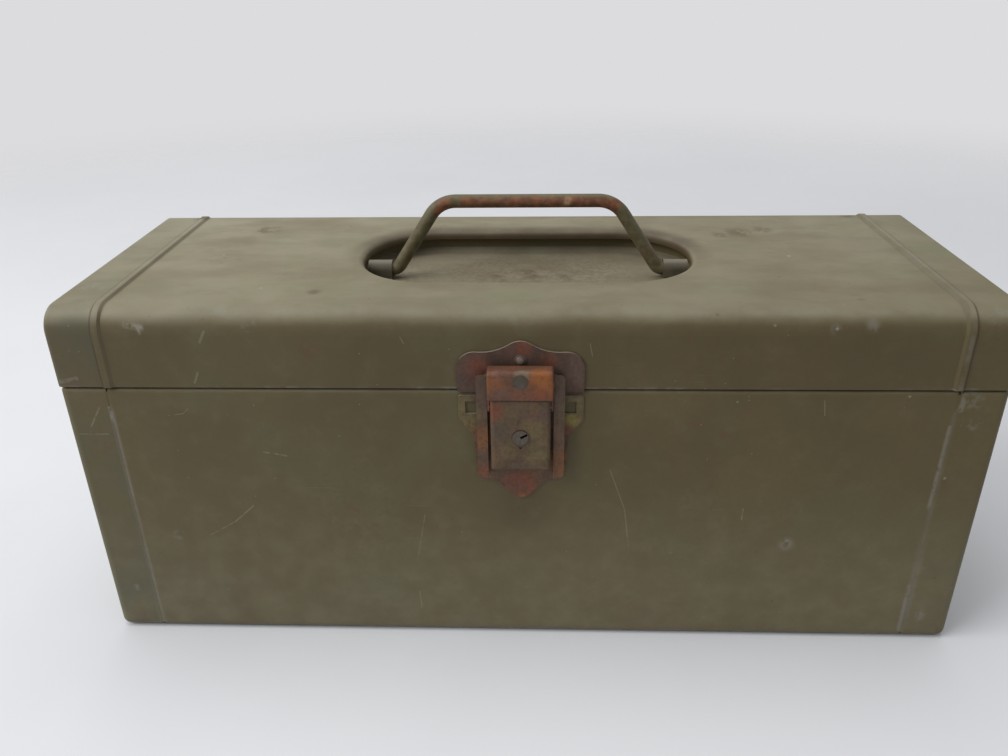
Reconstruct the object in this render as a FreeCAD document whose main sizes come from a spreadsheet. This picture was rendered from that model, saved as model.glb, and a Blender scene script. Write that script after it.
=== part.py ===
import FreeCAD, Part
import Sketcher
import math
import os
import re
from FreeCAD import Vector

# A folded sheet-steel tackle box. Millimetres, +X to the right seen from the front,
# +Y to the back, +Z up, with the origin at the centre of the bottom face.

# Driving sizes: name, value, what it is
SIZES = [
    ("box_width", 483.0, "outside width over the two ends"),
    ("box_depth", 168.0, "outside depth, front face to back face"),
    ("body_height", 160.0, "floor to the shoulder under the lid"),
    ("lid_height", 42.0, "lid skirt edge to lid top"),
    ("rim_gap", 1.0, "daylight between body shoulder and lid skirt"),
    ("gauge", 0.9, "sheet thickness of body and lid"),
    ("film", 0.1, "paint film between sheets that are welded or riveted face to face"),
    ("bottom_bend", 6.0, "outside bend radius along the floor"),
    ("corner_round", 5.0, "outside radius round each end of the body"),
    ("end_depth", 25.0, "how far each pressed end wraps round the corner"),
    ("lap_width", 6.5, "width of the body's lap under the end's flange"),
    ("lid_lap", 3.6, "width of the lid's lap over the end's flange"),
    ("joggle", 1.4, "width of the step that sets the lap in or out by one sheet"),
    ("rim_bend", 2.4, "outside bend radius of the body shoulder"),
    ("neck_inset", 3.0, "how far the neck stands in from the outside"),
    ("neck_height", 6.5, "height of the neck inside the lid"),
    ("neck_back_gap", 8.0, "where each end's neck stops short of the back"),
    ("hem", 6.0, "height of the folded hem"),
    ("lid_front_bend", 13.0, "outside radius along the lid's front top edge"),
    ("lid_back_bend", 3.1, "outside radius along the lid's back top edge"),
    ("lid_corner_round", 3.0, "outside radius round each end of the lid"),
    ("recess_half_width", 93.0, "half width of the handle recess at its throat"),
    ("recess_half_depth", 44.5, "half depth of the handle recess at its throat"),
    ("recess_shift", 3.5, "how far the recess sits behind the middle"),
    ("recess_corner", 42.0, "corner radius of the recess at its throat"),
    ("lip_radius", 3.5, "radius of the rolled lip round the recess"),
    ("lip_depth", 4.8, "how far the lip turns down"),
    ("pan_depth", 14.0, "lid top to the floor of the handle pan"),
    ("pan_margin", 4.2, "pan wall outside the lip's throat"),
    ("pan_bend", 3.0, "slope between the pan's wall and its floor, each way"),
    ("pan_flange", 7.0, "width of the pan's flange"),
    ("wire_radius", 3.75, "radius of the handle wire"),
    ("pivot_depth", 8.5, "handle pivot below the lid top"),
    ("handle_reach", 39.5, "handle pivot to the middle of the grip"),
    ("grip_half", 49.0, "half width of the grip at the crossing of its centre lines"),
    ("leg_half", 75.0, "half width of the handle legs at the pivot line"),
    ("grip_bend", 17.0, "bend radius beside the grip"),
    ("foot_bend", 5.0, "bend radius at the foot of each leg"),
    ("pivot_end", 89.5, "half length over the handle's turned-out ends"),
    ("saddle_setback", 2.9, "saddle outside the handle leg"),
    ("saddle_width", 13.6, "width of each handle saddle"),
    ("saddle_gauge", 1.0, "strap thickness of the saddles"),
    ("saddle_play", 0.3, "room between wire and saddle"),
    ("saddle_foot", 8.0, "length of each foot of a saddle"),
    ("knuckle_radius", 2.6, "outside radius of the hinge knuckles"),
    ("hinge_gauge", 1.0, "leaf thickness of the long hinge"),
    ("hinge_pin_radius", 1.5, "radius of the hinge pin"),
    ("running_play", 0.05, "radial play of a turning pin"),
    ("leaf_height", 16.0, "height of a hinge leaf from the pin line"),
    ("leaf_setback", 3.2, "bare strip between a leaf and the pin line"),
    ("knuckle_pairs", 7, "knuckles on the lid leaf, one less than on the body leaf"),
    ("knuckle_gap", 0.3, "end play between knuckles"),
    ("tray_end_gap", 11.5, "tray end to the outside of the box, where hanger, arm and studs go"),
    ("tray_half_width", "=box_width / 2 - tray_end_gap", "half width over the tray's ends"),
    ("tray_front_gap", 1.2, "tray front to the inside of the neck"),
    ("tray_depth", 108.0, "depth of the tray"),
    ("tray_height", 38.0, "height of the tray"),
    ("tray_drop", 35.5, "tray floor below the hinge line"),
    ("tray_gauge", 0.8, "sheet thickness of tray and dividers"),
    ("tray_round", 1.1, "outside corner radius of the tray"),
    ("divider_height", 31.0, "height of the dividers"),
    ("front_dividers", 4, "cross dividers in the front row"),
    ("back_dividers", 2, "cross dividers in the back row"),
    ("swing_back", 60.0, "lid pivot of the tray in front of the hinge line"),
    ("swing_rise", 15.0, "lid pivot of the tray above the hinge line"),
    ("arm_back", 70.0, "body pivot of the arm in front of the hinge line"),
    ("arm_drop", 25.0, "body pivot of the arm below the hinge line"),
    ("arm_gauge", 1.5, "thickness of arms and hangers"),
    ("arm_width", 10.0, "width of the arm's bar"),
    ("eye_radius", 7.0, "radius of the arm's eyes"),
    ("stud_radius", 2.5, "radius of the pivot studs"),
    ("stud_head_radius", 4.0, "radius of stud heads and collars"),
    ("stud_head", 1.1, "thickness of the stud heads"),
    ("arm_gap", 1.6, "clear space between hanger and arm"),
    ("open_pivot_play", 0.3, "radial play at the arm's tray end"),
    ("latch_shift", -2.2, "the latch's middle from the middle of the box"),
    ("latch_gauge", 1.0, "sheet thickness of the latch parts"),
    ("strike_gauge", 1.2, "thickness of the strike plate"),
    ("strike_overhang", 0.3, "how far the strike plate hangs past the body shoulder"),
    ("plate_half_width", 32.0, "half width of both latch plates at the lid gap"),
    ("strike_shoulder", 22.2, "shoulder of the strike plate above the body shoulder"),
    ("strike_crown", 29.0, "apex of the strike plate's crown above the body shoulder"),
    ("crown_half_width", 13.5, "half width of the crown at its foot"),
    ("crown_flare", 26.0, "radius of the hollow at each side of the crown"),
    ("crown_radius", 9.0, "radius over the crown"),
    ("plate_corner", 9.0, "corner radius of the strike plate"),
    ("ledge_height", 11.9, "underside of the ledge above the body shoulder"),
    ("ledge_reach", 6.0, "how far the ledge stands out of the strike plate"),
    ("ledge_half_width", 9.0, "half width of the ledge"),
    ("ledge_gauge", 1.2, "thickness of the ledge"),
    ("base_top", 2.4, "top of the latch base below the body shoulder"),
    ("wing_drop", 16.5, "lower end of the wings below the body shoulder"),
    ("waist_drop", 25.5, "where the narrow part of the base begins"),
    ("waist_half_width", 24.6, "half width of the base below its wings"),
    ("base_foot_drop", 52.7, "lower edge of the base beside its tip"),
    ("base_foot_half_width", 22.8, "half width of the base at its lower edge"),
    ("tip_half_width", 13.5, "half width of the tip where it leaves the lower edge"),
    ("tip_radius", 6.0, "radius of the tip"),
    ("tip_drop", 66.4, "apex of the tip below the body shoulder"),
    ("window_outer", 28.3, "outer edge of the windows in the wings"),
    ("window_top_drop", 5.8, "top of the windows below the body shoulder"),
    ("window_height", 7.0, "height of the windows"),
    ("rail_half_gap", 16.8, "half the space between the latch rails"),
    ("rail_gauge", 1.2, "thickness of the latch rails"),
    ("rail_outer", 22.3, "outer edge of the rail flanges from the middle"),
    ("rail_reach", 6.0, "front of the rail flanges from the box face"),
    ("rail_top", 11.0, "top of the rails above the body shoulder"),
    ("rail_foot_drop", 48.0, "foot of the rails below the body shoulder"),
    ("rail_lid_gap", 0.4, "room between the rails and the strike plate"),
    ("lever_pivot_out", 3.3, "lever pivot from the box face"),
    ("lever_pivot_rise", 5.0, "lever pivot above the body shoulder"),
    ("lever_pin_radius", 1.2, "radius of the lever's pivot pin"),
    ("lever_eye", 1.9, "radius of the lever's eyes"),
    ("lever_half_width", 15.2, "half width of the lock case"),
    ("lever_front", 10.2, "front of the lock case from the box face"),
    ("lever_back", 2.6, "back edge of the lock case from the box face"),
    ("lever_top_drop", 0.6, "top edge of the lock case below the body shoulder"),
    ("lever_foot_drop", 41.4, "foot of the lock case below the body shoulder"),
    ("lever_round", 2.2, "outside radius of the lock case edges"),
    ("claw_pin_out", 6.0, "claw pivot from the box face"),
    ("claw_pin_drop", 6.0, "claw pivot below the body shoulder"),
    ("claw_pin_radius", 1.0, "radius of the claw's pivot pin"),
    ("claw_eye", 2.4, "radius of the claw's ears"),
    ("claw_half_width", 16.5, "half width of the claw hood"),
    ("claw_front", 11.5, "front of the claw hood from the box face"),
    ("claw_lip", 3.4, "inner end of the claw's lip from the box face"),
    ("claw_foot_rise", 0.2, "lower edge of the hood above the body shoulder"),
    ("claw_top_rise", 15.5, "top of the hood above the body shoulder"),
    ("claw_round", 2.4, "outside radius over the top of the hood"),
    ("claw_cheek", 7.6, "inner edge of the hood's cheeks from the box face"),
    ("hook_gauge", 1.2, "thickness of the hook plate inside the hood"),
    ("hook_half_width", 9.8, "half width of the hook plate"),
    ("hook_play", 0.15, "room between the hook and the ledge"),
    ("lock_drop", 21.8, "lock centre below the body shoulder"),
    ("plug_radius", 4.5, "radius of the lock plug"),
    ("plug_proud", 0.4, "how far the plug stands out of the lock case"),
    ("plug_tail", 3.8, "inner end of the plug from the box face"),
    ("key_slot_width", 1.4, "width of the key slot"),
    ("key_slot_length", 3.9, "length of the key slot from the plug's middle"),
    ("key_slot_depth", 3.0, "depth of the key slot"),
    ("key_slot_turn", 60.0, "rest angle of the key slot, clockwise from upright"),
    ("mark_radius", 0.75, "radius of the small hole that marks the locked place"),
    ("housing_wall", 1.8, "wall of the lock housing round the plug"),
    ("cam_reach", 2.65, "how far the tip of the lock cam reaches past the lock housing"),
    ("cam_half_width", 1.9, "half width of the lock cam"),
    ("cam_gauge", 0.9, "thickness of the lock cam"),
    ("cam_turn", 150.0, "rest angle of the cam, clockwise from upright"),
    ("keeper_gap", 0.7, "room between the cam and its keeper"),
    ("keeper_grip", 2.0, "how far the keeper reaches over the cam"),
    ("keeper_height", 6.0, "height of the keeper"),
    ("rivet_radius", 1.6, "shank radius of the plate rivets"),
    ("rivet_head_radius", 2.7, "head radius of the plate rivets"),
    ("rivet_head", 0.9, "head height of the plate rivets"),
    ("crown_rivet_radius", 3.2, "head radius of the rivet in the crown"),
    ("crown_rivet_head", 1.6, "head height of the rivet in the crown"),
    ("crown_rivet_rise", 17.4, "crown rivet above the body shoulder"),
    ("strike_rivet_rise", 9.8, "lower strike rivets above the body shoulder"),
    ("strike_rivet_x", 12.4, "lower strike rivets from the middle"),
    ("plate_rivet_x", 9.0, "base rivets from the middle"),
    ("base_rivet_high", 10.0, "upper base rivets below the body shoulder"),
    ("base_rivet_low", 36.5, "lower base rivets below the body shoulder"),
    ("hood_rivet_radius", 4.0, "head radius of the flush rivet in the hood"),
    ("hood_rivet_rise", 10.2, "flush rivet above the body shoulder"),
    ("small_rivet_radius", 1.2, "shank radius of the small rivets"),
    ("small_rivet_head", 0.7, "head height of the small rivets"),
    ("small_rivet_head_radius", 2.2, "head radius of the small rivets"),
]

doc = FreeCAD.newDocument("TackleBox")
sheet = doc.addObject("Spreadsheet::Sheet", "Sizes")
for row, (alias, amount, meaning) in enumerate(SIZES, start=1):
    sheet.set(f"A{row}", alias)
    sheet.set(f"B{row}", str(amount))
    sheet.set(f"C{row}", meaning)
    sheet.setAlias(f"B{row}", alias)
doc.recompute()
ALIASES = {alias for alias, amount, meaning in SIZES}

# Places that several pieces share, as formulas of the driving sizes
FRONT = "(-box_depth / 2)"
BACK = "(box_depth / 2)"
END = "(box_width / 2)"
SEAM = f"({END} - end_depth)"
SKIRT = "(body_height + rim_gap)"
LID_TOP = f"({SKIRT} + lid_height)"
HINGE_Y = f"({BACK} + knuckle_radius + film)"
HINGE_Z = "(body_height + rim_gap / 2)"
HINGE_HALF = f"({SEAM} - lid_lap - joggle - 1)"
PITCH = f"(2 * {HINGE_HALF} / (2 * knuckle_pairs + 1))"
PAN_FLOOR = f"({LID_TOP} - pan_depth)"
PIVOT_Z = f"({LID_TOP} - pivot_depth)"
TRAY_FRONT = f"({FRONT} + neck_inset + gauge + tray_front_gap)"
TRAY_BACK = f"({TRAY_FRONT} + tray_depth)"
TRAY_FLOOR = f"({HINGE_Z} - tray_drop)"
TRAY_TOP = f"({TRAY_FLOOR} + tray_height)"
LID_PIVOT = (f"({HINGE_Y} - swing_back)", f"({HINGE_Z} + swing_rise)")
BODY_PIVOT = (f"({HINGE_Y} - arm_back)", f"({HINGE_Z} - arm_drop)")
TRAY_PIVOT = (f"({BODY_PIVOT[0]} - swing_back)", f"({BODY_PIVOT[1]} + swing_rise)")
HANGER_X = "(tray_half_width + film)"
ARM_X = f"({HANGER_X} + arm_gauge + arm_gap)"
LEVER_PIVOT = (f"({FRONT} - lever_pivot_out)", "(body_height + lever_pivot_rise)")
CLAW_PIVOT = (f"({FRONT} - claw_pin_out)", "(body_height - claw_pin_drop)")
LOCK_Z = "(body_height - lock_drop)"
CAM_OUT = "(plug_tail - film)"
HOUSING_RADIUS = "(plug_radius + running_play + housing_wall)"
CAM_TIP = f"({HOUSING_RADIUS} + cam_reach)"


def bound(formula):
    """Put the sheet's name before every size that a formula uses."""
    def named(word):
        return f"Sizes.{word.group()}" if word.group() in ALIASES else word.group()
    return re.sub(r"[A-Za-z_]\w*", named, str(formula))


def value(formula):
    return float(sheet.evalExpression(bound(formula)))


def new_body(label):
    body = doc.addObject("PartDesign::Body", label)
    body.Label = label
    return body


def new_sketch(body, role, name, offset="0"):
    """A sketch on one of the body's own planes, shifted along the plane's normal."""
    sketch = body.newObject("Sketcher::SketchObject", f"{body.Label}_{name}")
    plane = [item for item in body.Origin.OriginFeatures if item.Role == role][0]
    sketch.AttachmentSupport = (plane, "")
    sketch.MapMode = "FlatFace"
    sketch.setExpression("AttachmentOffset.Base.z", bound(offset))
    return sketch


def corner_arc(before, corner, after, radius):
    """Tangent points, arc and turning sense of a rounded corner."""
    incoming = (before - corner).normalize()
    outgoing = (after - corner).normalize()
    half_angle = incoming.getAngle(outgoing) / 2
    reach = radius / math.tan(half_angle)
    first = corner + incoming * reach
    last = corner + outgoing * reach
    middle = corner + (incoming + outgoing).normalize() * (radius / math.sin(half_angle))
    left_turn = (incoming * -1).cross(outgoing).z > 0
    start, end = (first, last) if left_turn else (last, first)
    arc = Part.ArcOfCircle(
        Part.Circle(middle, Vector(0, 0, 1), radius),
        math.atan2(start.y - middle.y, start.x - middle.x),
        math.atan2(end.y - middle.y, end.x - middle.x),
    )
    return first, last, arc, left_turn


def outline(sketch, corners, closed=True):
    """Straight sides through the given corners, with an arc where a corner has a radius.

    Each corner is (x, y) or (x, y, radius), as formulas of the sheet's sizes.
    """
    count = len(corners)
    points = [Vector(value(corner[0]), value(corner[1]), 0) for corner in corners]
    formulas = []
    constraints = []

    def hold(constraint, formula=None):
        if formula is not None:
            formulas.append((len(constraints), formula))
        constraints.append(constraint)

    starts = list(points)
    ends = list(points)
    arcs = {}
    for index, corner in enumerate(corners):
        inner = closed or 0 < index < count - 1
        if inner and len(corner) > 2:
            turned = corner_arc(points[index - 1], points[index], points[(index + 1) % count], value(corner[2]))
            ends[index], starts[index], arcs[index], left_turn = turned
            arcs[index] = (arcs[index], left_turn)
    side_count = count if closed else count - 1
    first_side = sketch.GeometryCount
    for index in range(side_count):
        sketch.addGeometry(Part.LineSegment(starts[index], ends[(index + 1) % count]), False)
    for index, corner in enumerate(corners):
        before = first_side + ((index - 1) % side_count if closed else index - 1)
        after = first_side + index
        if index in arcs:
            arc, left_turn = arcs[index]
            bend = sketch.addGeometry(arc, False)
            mark = sketch.addGeometry(Part.Point(points[index]), True)
            near, far = (1, 2) if left_turn else (2, 1)
            hold(Sketcher.Constraint("Tangent", before, 2, bend, near))
            hold(Sketcher.Constraint("Tangent", bend, far, after, 1))
            hold(Sketcher.Constraint("PointOnObject", mark, 1, before))
            hold(Sketcher.Constraint("PointOnObject", mark, 1, after))
            hold(Sketcher.Constraint("Radius", bend, value(corner[2])), corner[2])
            place = (mark, 1)
        elif index < side_count:
            place = (after, 1)
            if closed or index > 0:
                hold(Sketcher.Constraint("Coincident", before, 2, after, 1))
        else:
            place = (before, 2)
        hold(Sketcher.Constraint("DistanceX", *place, points[index].x), corner[0])
        hold(Sketcher.Constraint("DistanceY", *place, points[index].y), corner[1])
    first = sketch.ConstraintCount
    sketch.addConstraint(constraints)
    for index, formula in formulas:
        sketch.setExpression(f"Constraints[{first + index}]", bound(formula))


def rectangle(sketch, left, right, low, high, radius=None):
    extra = () if radius is None else (radius,)
    outline(sketch, [(left, low) + extra, (right, low) + extra, (right, high) + extra, (left, high) + extra])


def circle(sketch, across, up, radius):
    ring = sketch.addGeometry(Part.Circle(Vector(value(across), value(up), 0), Vector(0, 0, 1), value(radius)), False)
    first = sketch.ConstraintCount
    sketch.addConstraint([
        Sketcher.Constraint("Radius", ring, value(radius)),
        Sketcher.Constraint("DistanceX", ring, 3, value(across)),
        Sketcher.Constraint("DistanceY", ring, 3, value(up)),
    ])
    for index, formula in enumerate((radius, across, up)):
        sketch.setExpression(f"Constraints[{first + index}]", bound(formula))


def pad(body, sketch, length, both_ways=False, backwards=False):
    feature = body.newObject("PartDesign::Pad", f"{sketch.Name}_pad")
    feature.Profile = sketch
    feature.Reversed = backwards
    feature.setExpression("Length", bound(length))
    if both_ways:
        feature.Midplane = True
    return feature


def pocket(body, sketch, length, both_ways=False, backwards=False):
    """Cut a sketch out of the body, and stop if that takes nothing away."""
    doc.recompute()
    before = body.Shape.Volume
    feature = body.newObject("PartDesign::Pocket", f"{sketch.Name}_pocket")
    feature.Profile = sketch
    feature.Reversed = backwards
    feature.setExpression("Length", bound(length))
    if both_ways:
        feature.Midplane = True
    doc.recompute()
    if body.Shape.Volume > before - 1e-6:
        raise ValueError(f"{feature.Name} cuts nothing")
    return feature


def pick_edges(feature, wanted):
    return [f"Edge{index}" for index, edge in enumerate(feature.Shape.Edges, start=1) if wanted(edge)]


def pick_faces(feature, wanted):
    return [f"Face{index}" for index, face in enumerate(feature.Shape.Faces, start=1) if wanted(face)]


def fillet(body, name, wanted, radius):
    doc.recompute()
    base = body.Tip
    feature = body.newObject("PartDesign::Fillet", f"{body.Label}_{name}")
    feature.Base = (base, pick_edges(base, wanted))
    feature.setExpression("Radius", bound(radius))
    doc.recompute()
    return feature


def chamfer(body, name, wanted, size):
    doc.recompute()
    base = body.Tip
    feature = body.newObject("PartDesign::Chamfer", f"{body.Label}_{name}")
    feature.Base = (base, pick_edges(base, wanted))
    feature.setExpression("Size", bound(size))
    doc.recompute()
    return feature


def shell(body, name, opened, thickness):
    """Hollow the body inwards from the faces that are opened."""
    doc.recompute()
    base = body.Tip
    feature = body.newObject("PartDesign::Thickness", f"{body.Label}_{name}")
    feature.Base = (base, pick_faces(base, opened))
    feature.Reversed = True
    feature.Join = 0
    feature.setExpression("Value", bound(thickness))
    doc.recompute()
    return feature


def mirrored(body, features, role="YZ_Plane"):
    feature = body.newObject("PartDesign::Mirrored", f"{body.Label}_mirror_{features[0].Name}")
    plane = [item for item in body.Origin.OriginFeatures if item.Role == role][0]
    feature.Originals = features
    feature.MirrorPlane = (plane, [""])
    body.Tip = feature
    doc.recompute()
    return feature


def near(one, other, slack=0.01):
    return abs(one - other) < slack


# Folded wrappers of the body and the lid
def body_section(inset):
    """Front neck, shoulder, front wall, floor and back wall, set in by a distance."""
    front = f"{FRONT} + {inset}"
    back = f"{BACK} - {inset}"
    neck = f"{front} + neck_inset"
    top = "body_height + neck_height"
    shoulder = f"body_height - {inset}"
    return [
        (neck, top),
        (neck, shoulder, "0.3"),
        (front, shoulder, f"rim_bend - {inset}"),
        (front, inset, f"bottom_bend - {inset}"),
        (back, inset, f"bottom_bend - {inset}"),
        (back, f"body_height - 3 * {inset}"),
        (f"{back} - gauge", f"body_height - 3 * {inset}"),
        (f"{back} - gauge", f"{inset} + gauge", f"bottom_bend - {inset} - gauge"),
        (f"{front} + gauge", f"{inset} + gauge", f"bottom_bend - {inset} - gauge"),
        (f"{front} + gauge", f"{shoulder} - gauge", f"rim_bend - {inset} - gauge"),
        (f"{neck} + gauge", f"{shoulder} - gauge", "0.3 + gauge"),
        (f"{neck} + gauge", top),
    ]


def lid_section(outset):
    """Front skirt, top and back skirt, set out by a distance."""
    front = f"{FRONT} - {outset}"
    back = f"{BACK} + {outset}"
    top = f"{LID_TOP} + {outset}"
    return [
        (front, SKIRT),
        (f"{front} + gauge", SKIRT),
        (f"{front} + gauge", f"{top} - gauge", f"lid_front_bend + {outset} - gauge"),
        (f"{back} - gauge", f"{top} - gauge", f"lid_back_bend + {outset} - gauge"),
        (f"{back} - gauge", SKIRT),
        (back, SKIRT),
        (back, top, f"lid_back_bend + {outset}"),
        (front, top, f"lid_front_bend + {outset}"),
    ]


def wrapper(label, section, step_start, lap_end):
    """A folded sheet whose last strip at each end is joggled by one sheet to lap the pressed end."""
    body = new_body(label)
    main = new_sketch(body, "YZ_Plane", "section")
    outline(main, section("0"))
    pad(body, main, f"2 * {step_start}", both_ways=True)
    inner = new_sketch(body, "YZ_Plane", "step_inner", step_start)
    outline(inner, section("0"))
    outer = new_sketch(body, "YZ_Plane", "step_outer", f"{step_start} + joggle")
    outline(outer, section("(gauge + film)"))
    step = body.newObject("PartDesign::AdditiveLoft", f"{label}_step")
    step.Profile = inner
    step.Sections = [outer]
    step.Ruled = True
    lap = new_sketch(body, "YZ_Plane", "lap", f"{step_start} + joggle")
    outline(lap, section("(gauge + film)"))
    strip = pad(body, lap, f"{lap_end} - {step_start} - joggle")
    doc.recompute()
    mirrored(body, [step, strip])
    return body


def folded_hem(body, wall, sense, low, half_length):
    """The second layer of a hem, folded against the inside of a wall."""
    sketch = new_sketch(body, "YZ_Plane", "hem")
    near_side, far_side = f"{wall} + {sense} * gauge", f"{wall} + {sense} * 2 * gauge"
    left, right = (near_side, far_side) if sense > 0 else (far_side, near_side)
    rectangle(sketch, left, right, low, f"{low} + hem")
    pad(body, sketch, f"2 * ({half_length})", both_ways=True)


def rivet_holes(body, name, places, plane_offset, depth, radius="rivet_radius"):
    sketch = new_sketch(body, "XZ_Plane", name, plane_offset)
    for across, up in places:
        circle(sketch, across, up, radius)
    pocket(body, sketch, depth)


BASE_RIVETS = [
    (side + place, height)
    for side, place in (("", "plate_rivet_x"), ("-", "plate_rivet_x"))
    for height in ("body_height - base_rivet_high", "body_height - base_rivet_low")
]
STRIKE_RIVETS = [
    ("strike_rivet_x", "body_height + strike_rivet_rise"),
    ("-strike_rivet_x", "body_height + strike_rivet_rise"),
]
CROWN_RIVET = [("0", "body_height + crown_rivet_rise")]


def shifted(places):
    """The same places on a piece that isn't itself moved aside with the latch."""
    return [(f"latch_shift + {across}", up) for across, up in places]


body_wrapper = wrapper("body_wrapper", body_section, f"({SEAM} - joggle)", f"({SEAM} + lap_width)")
folded_hem(body_wrapper, BACK, -1, "(body_height - hem)", f"{SEAM} - joggle")
rivet_holes(body_wrapper, "rivet_holes", shifted(BASE_RIVETS), BACK, "2 * gauge")

lid_wrapper = wrapper("lid_wrapper", lid_section, f"({SEAM} - lid_lap - joggle)", SEAM)
folded_hem(lid_wrapper, FRONT, 1, SKIRT, f"{SEAM} - lid_lap - joggle")
rivet_holes(lid_wrapper, "rivet_holes", shifted(STRIKE_RIVETS + CROWN_RIVET), BACK, "2 * gauge")


def recess_outline(sketch, outset):
    rectangle(
        sketch,
        f"-recess_half_width - {outset}",
        f"recess_half_width + {outset}",
        f"recess_shift - recess_half_depth - {outset}",
        f"recess_shift + recess_half_depth + {outset}",
        f"recess_corner + {outset}",
    )


def recess_edge(outset, height):
    """True for the edges of a recess outline at a height."""
    half_width = value(f"recess_half_width + {outset}")
    half_depth = value(f"recess_half_depth + {outset}")
    middle = value("recess_shift")
    level = value(height)

    def wanted(edge):
        box = edge.BoundBox
        if not (near(box.ZMin, level) and near(box.ZMax, level)):
            return False
        inside = box.XMax < half_width + 0.01 and box.XMin > -half_width - 0.01
        reach = max(abs(box.XMin), abs(box.XMax)) / half_width
        reach_y = max(abs(box.YMin - middle), abs(box.YMax - middle)) / half_depth
        deep = abs(box.YMin - middle) < half_depth + 0.01 and abs(box.YMax - middle) < half_depth + 0.01
        return inside and deep and (near(reach, 1, 1e-4) or near(reach_y, 1, 1e-4))
    return wanted


# Rolled lip round the handle recess: the sheet turns down through a quarter circle
opening = new_sketch(lid_wrapper, "XY_Plane", "recess", LID_TOP)
recess_outline(opening, "gauge")
pocket(lid_wrapper, opening, "2 * gauge")
collar = new_sketch(lid_wrapper, "XY_Plane", "lip", LID_TOP)
recess_outline(collar, "gauge")
recess_outline(collar, "0")
pad(lid_wrapper, collar, "lip_depth", backwards=True)
chamfer(lid_wrapper, "lip_inside", recess_edge("gauge", f"{LID_TOP} - gauge"), "0.6 * (lip_radius - gauge)")
fillet(lid_wrapper, "lip_outside", recess_edge("0", LID_TOP), "lip_radius")


# Pressed ends
def pressed_block(label, side, low, high, depth, low_round, front_round, back_round):
    """The outside of a pressed end as a solid block, with its end face rounded off."""
    body = new_body(label)
    face = new_sketch(body, "YZ_Plane", "face", f"{side} * {END}")
    outline(face, [
        (FRONT, low) + low_round,
        (BACK, low) + low_round,
        (BACK, high) + back_round,
        (FRONT, high) + front_round,
    ])
    pad(body, face, depth, backwards=side > 0)
    return body


def at_end_face(side, rejected_level):
    """True for the edges of the end face, apart from the one at a given height."""
    end_x = side * value(END)
    level = value(rejected_level)

    def wanted(edge):
        box = edge.BoundBox
        straight_out = near(box.ZMin, level) and near(box.ZMax, level)
        return near(box.XMin, end_x) and near(box.XMax, end_x) and not straight_out
    return wanted


def body_end(label, side):
    body = pressed_block(label, side, "0", "body_height", "end_depth", ("bottom_bend",), (), ())
    fillet(body, "rim", at_end_face(side, "body_height"), "corner_round")
    top = value("body_height")
    back = value(BACK)
    inner_x = side * value(SEAM)

    def shoulder_edge(edge):
        box = edge.BoundBox
        at_top = near(box.ZMin, top) and near(box.ZMax, top)
        at_back = near(box.YMax, back) and near(box.YMin, back)
        at_seam = near(box.XMin, inner_x) and near(box.XMax, inner_x)
        round_back = box.YMax > back - 0.01 and box.YMin > back - value("corner_round") - 0.01
        return at_top and not at_back and not at_seam and not round_back
    fillet(body, "shoulder_bend", shoulder_edge, "rim_bend")
    shell(
        body, "shell", lambda face: near(face.BoundBox.XMin, inner_x) and near(face.BoundBox.XMax, inner_x),
        "gauge",
    )
    # Opening inside the neck, then the neck round the front corner and along the end
    neck_out = f"({END} - neck_inset)"
    neck_in = f"({neck_out} - gauge)"
    neck_front = f"({FRONT} + neck_inset)"
    neck_stop = f"({BACK} - neck_back_gap)"
    mouth = new_sketch(body, "XY_Plane", "mouth", "body_height")
    outline(mouth, [
        (f"{side} * ({SEAM} - 1)", f"{neck_front} + gauge"),
        (f"{side} * {neck_in}", f"{neck_front} + gauge", "1.5 * gauge"),
        (f"{side} * {neck_in}", f"{BACK} - rim_bend"),
        (f"{side} * ({SEAM} - 1)", f"{BACK} - rim_bend"),
    ])
    pocket(body, mouth, "gauge")
    neck = new_sketch(body, "XY_Plane", "neck", "body_height - gauge")
    outline(neck, [
        (f"{side} * {SEAM}", neck_front),
        (f"{side} * {neck_out}", neck_front, "2.5 * gauge"),
        (f"{side} * {neck_out}", neck_stop),
        (f"{side} * {neck_in}", neck_stop),
        (f"{side} * {neck_in}", f"{neck_front} + gauge", "1.5 * gauge"),
        (f"{side} * {SEAM}", f"{neck_front} + gauge"),
    ])
    pad(body, neck, "neck_height + gauge")
    return body


def lid_end(label, side):
    depth = "(end_depth + lid_lap - film)"
    body = pressed_block(
        label, side, SKIRT, LID_TOP, depth, (), ("lid_front_bend",), ("lid_back_bend",),
    )
    fillet(body, "rim", at_end_face(side, SKIRT), "lid_corner_round")
    bottom = value(SKIRT)
    inner_x = side * value(f"{END} - {depth}")

    def opened(face):
        box = face.BoundBox
        return (near(box.XMin, inner_x) and near(box.XMax, inner_x)) or near(box.ZMax, bottom)
    shell(body, "shell", opened, "gauge")
    return body


for end_name, end_side in (("left", -1), ("right", 1)):
    body_end(f"body_end_{end_name}", end_side)
    lid_end(f"lid_end_{end_name}", end_side)


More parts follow.
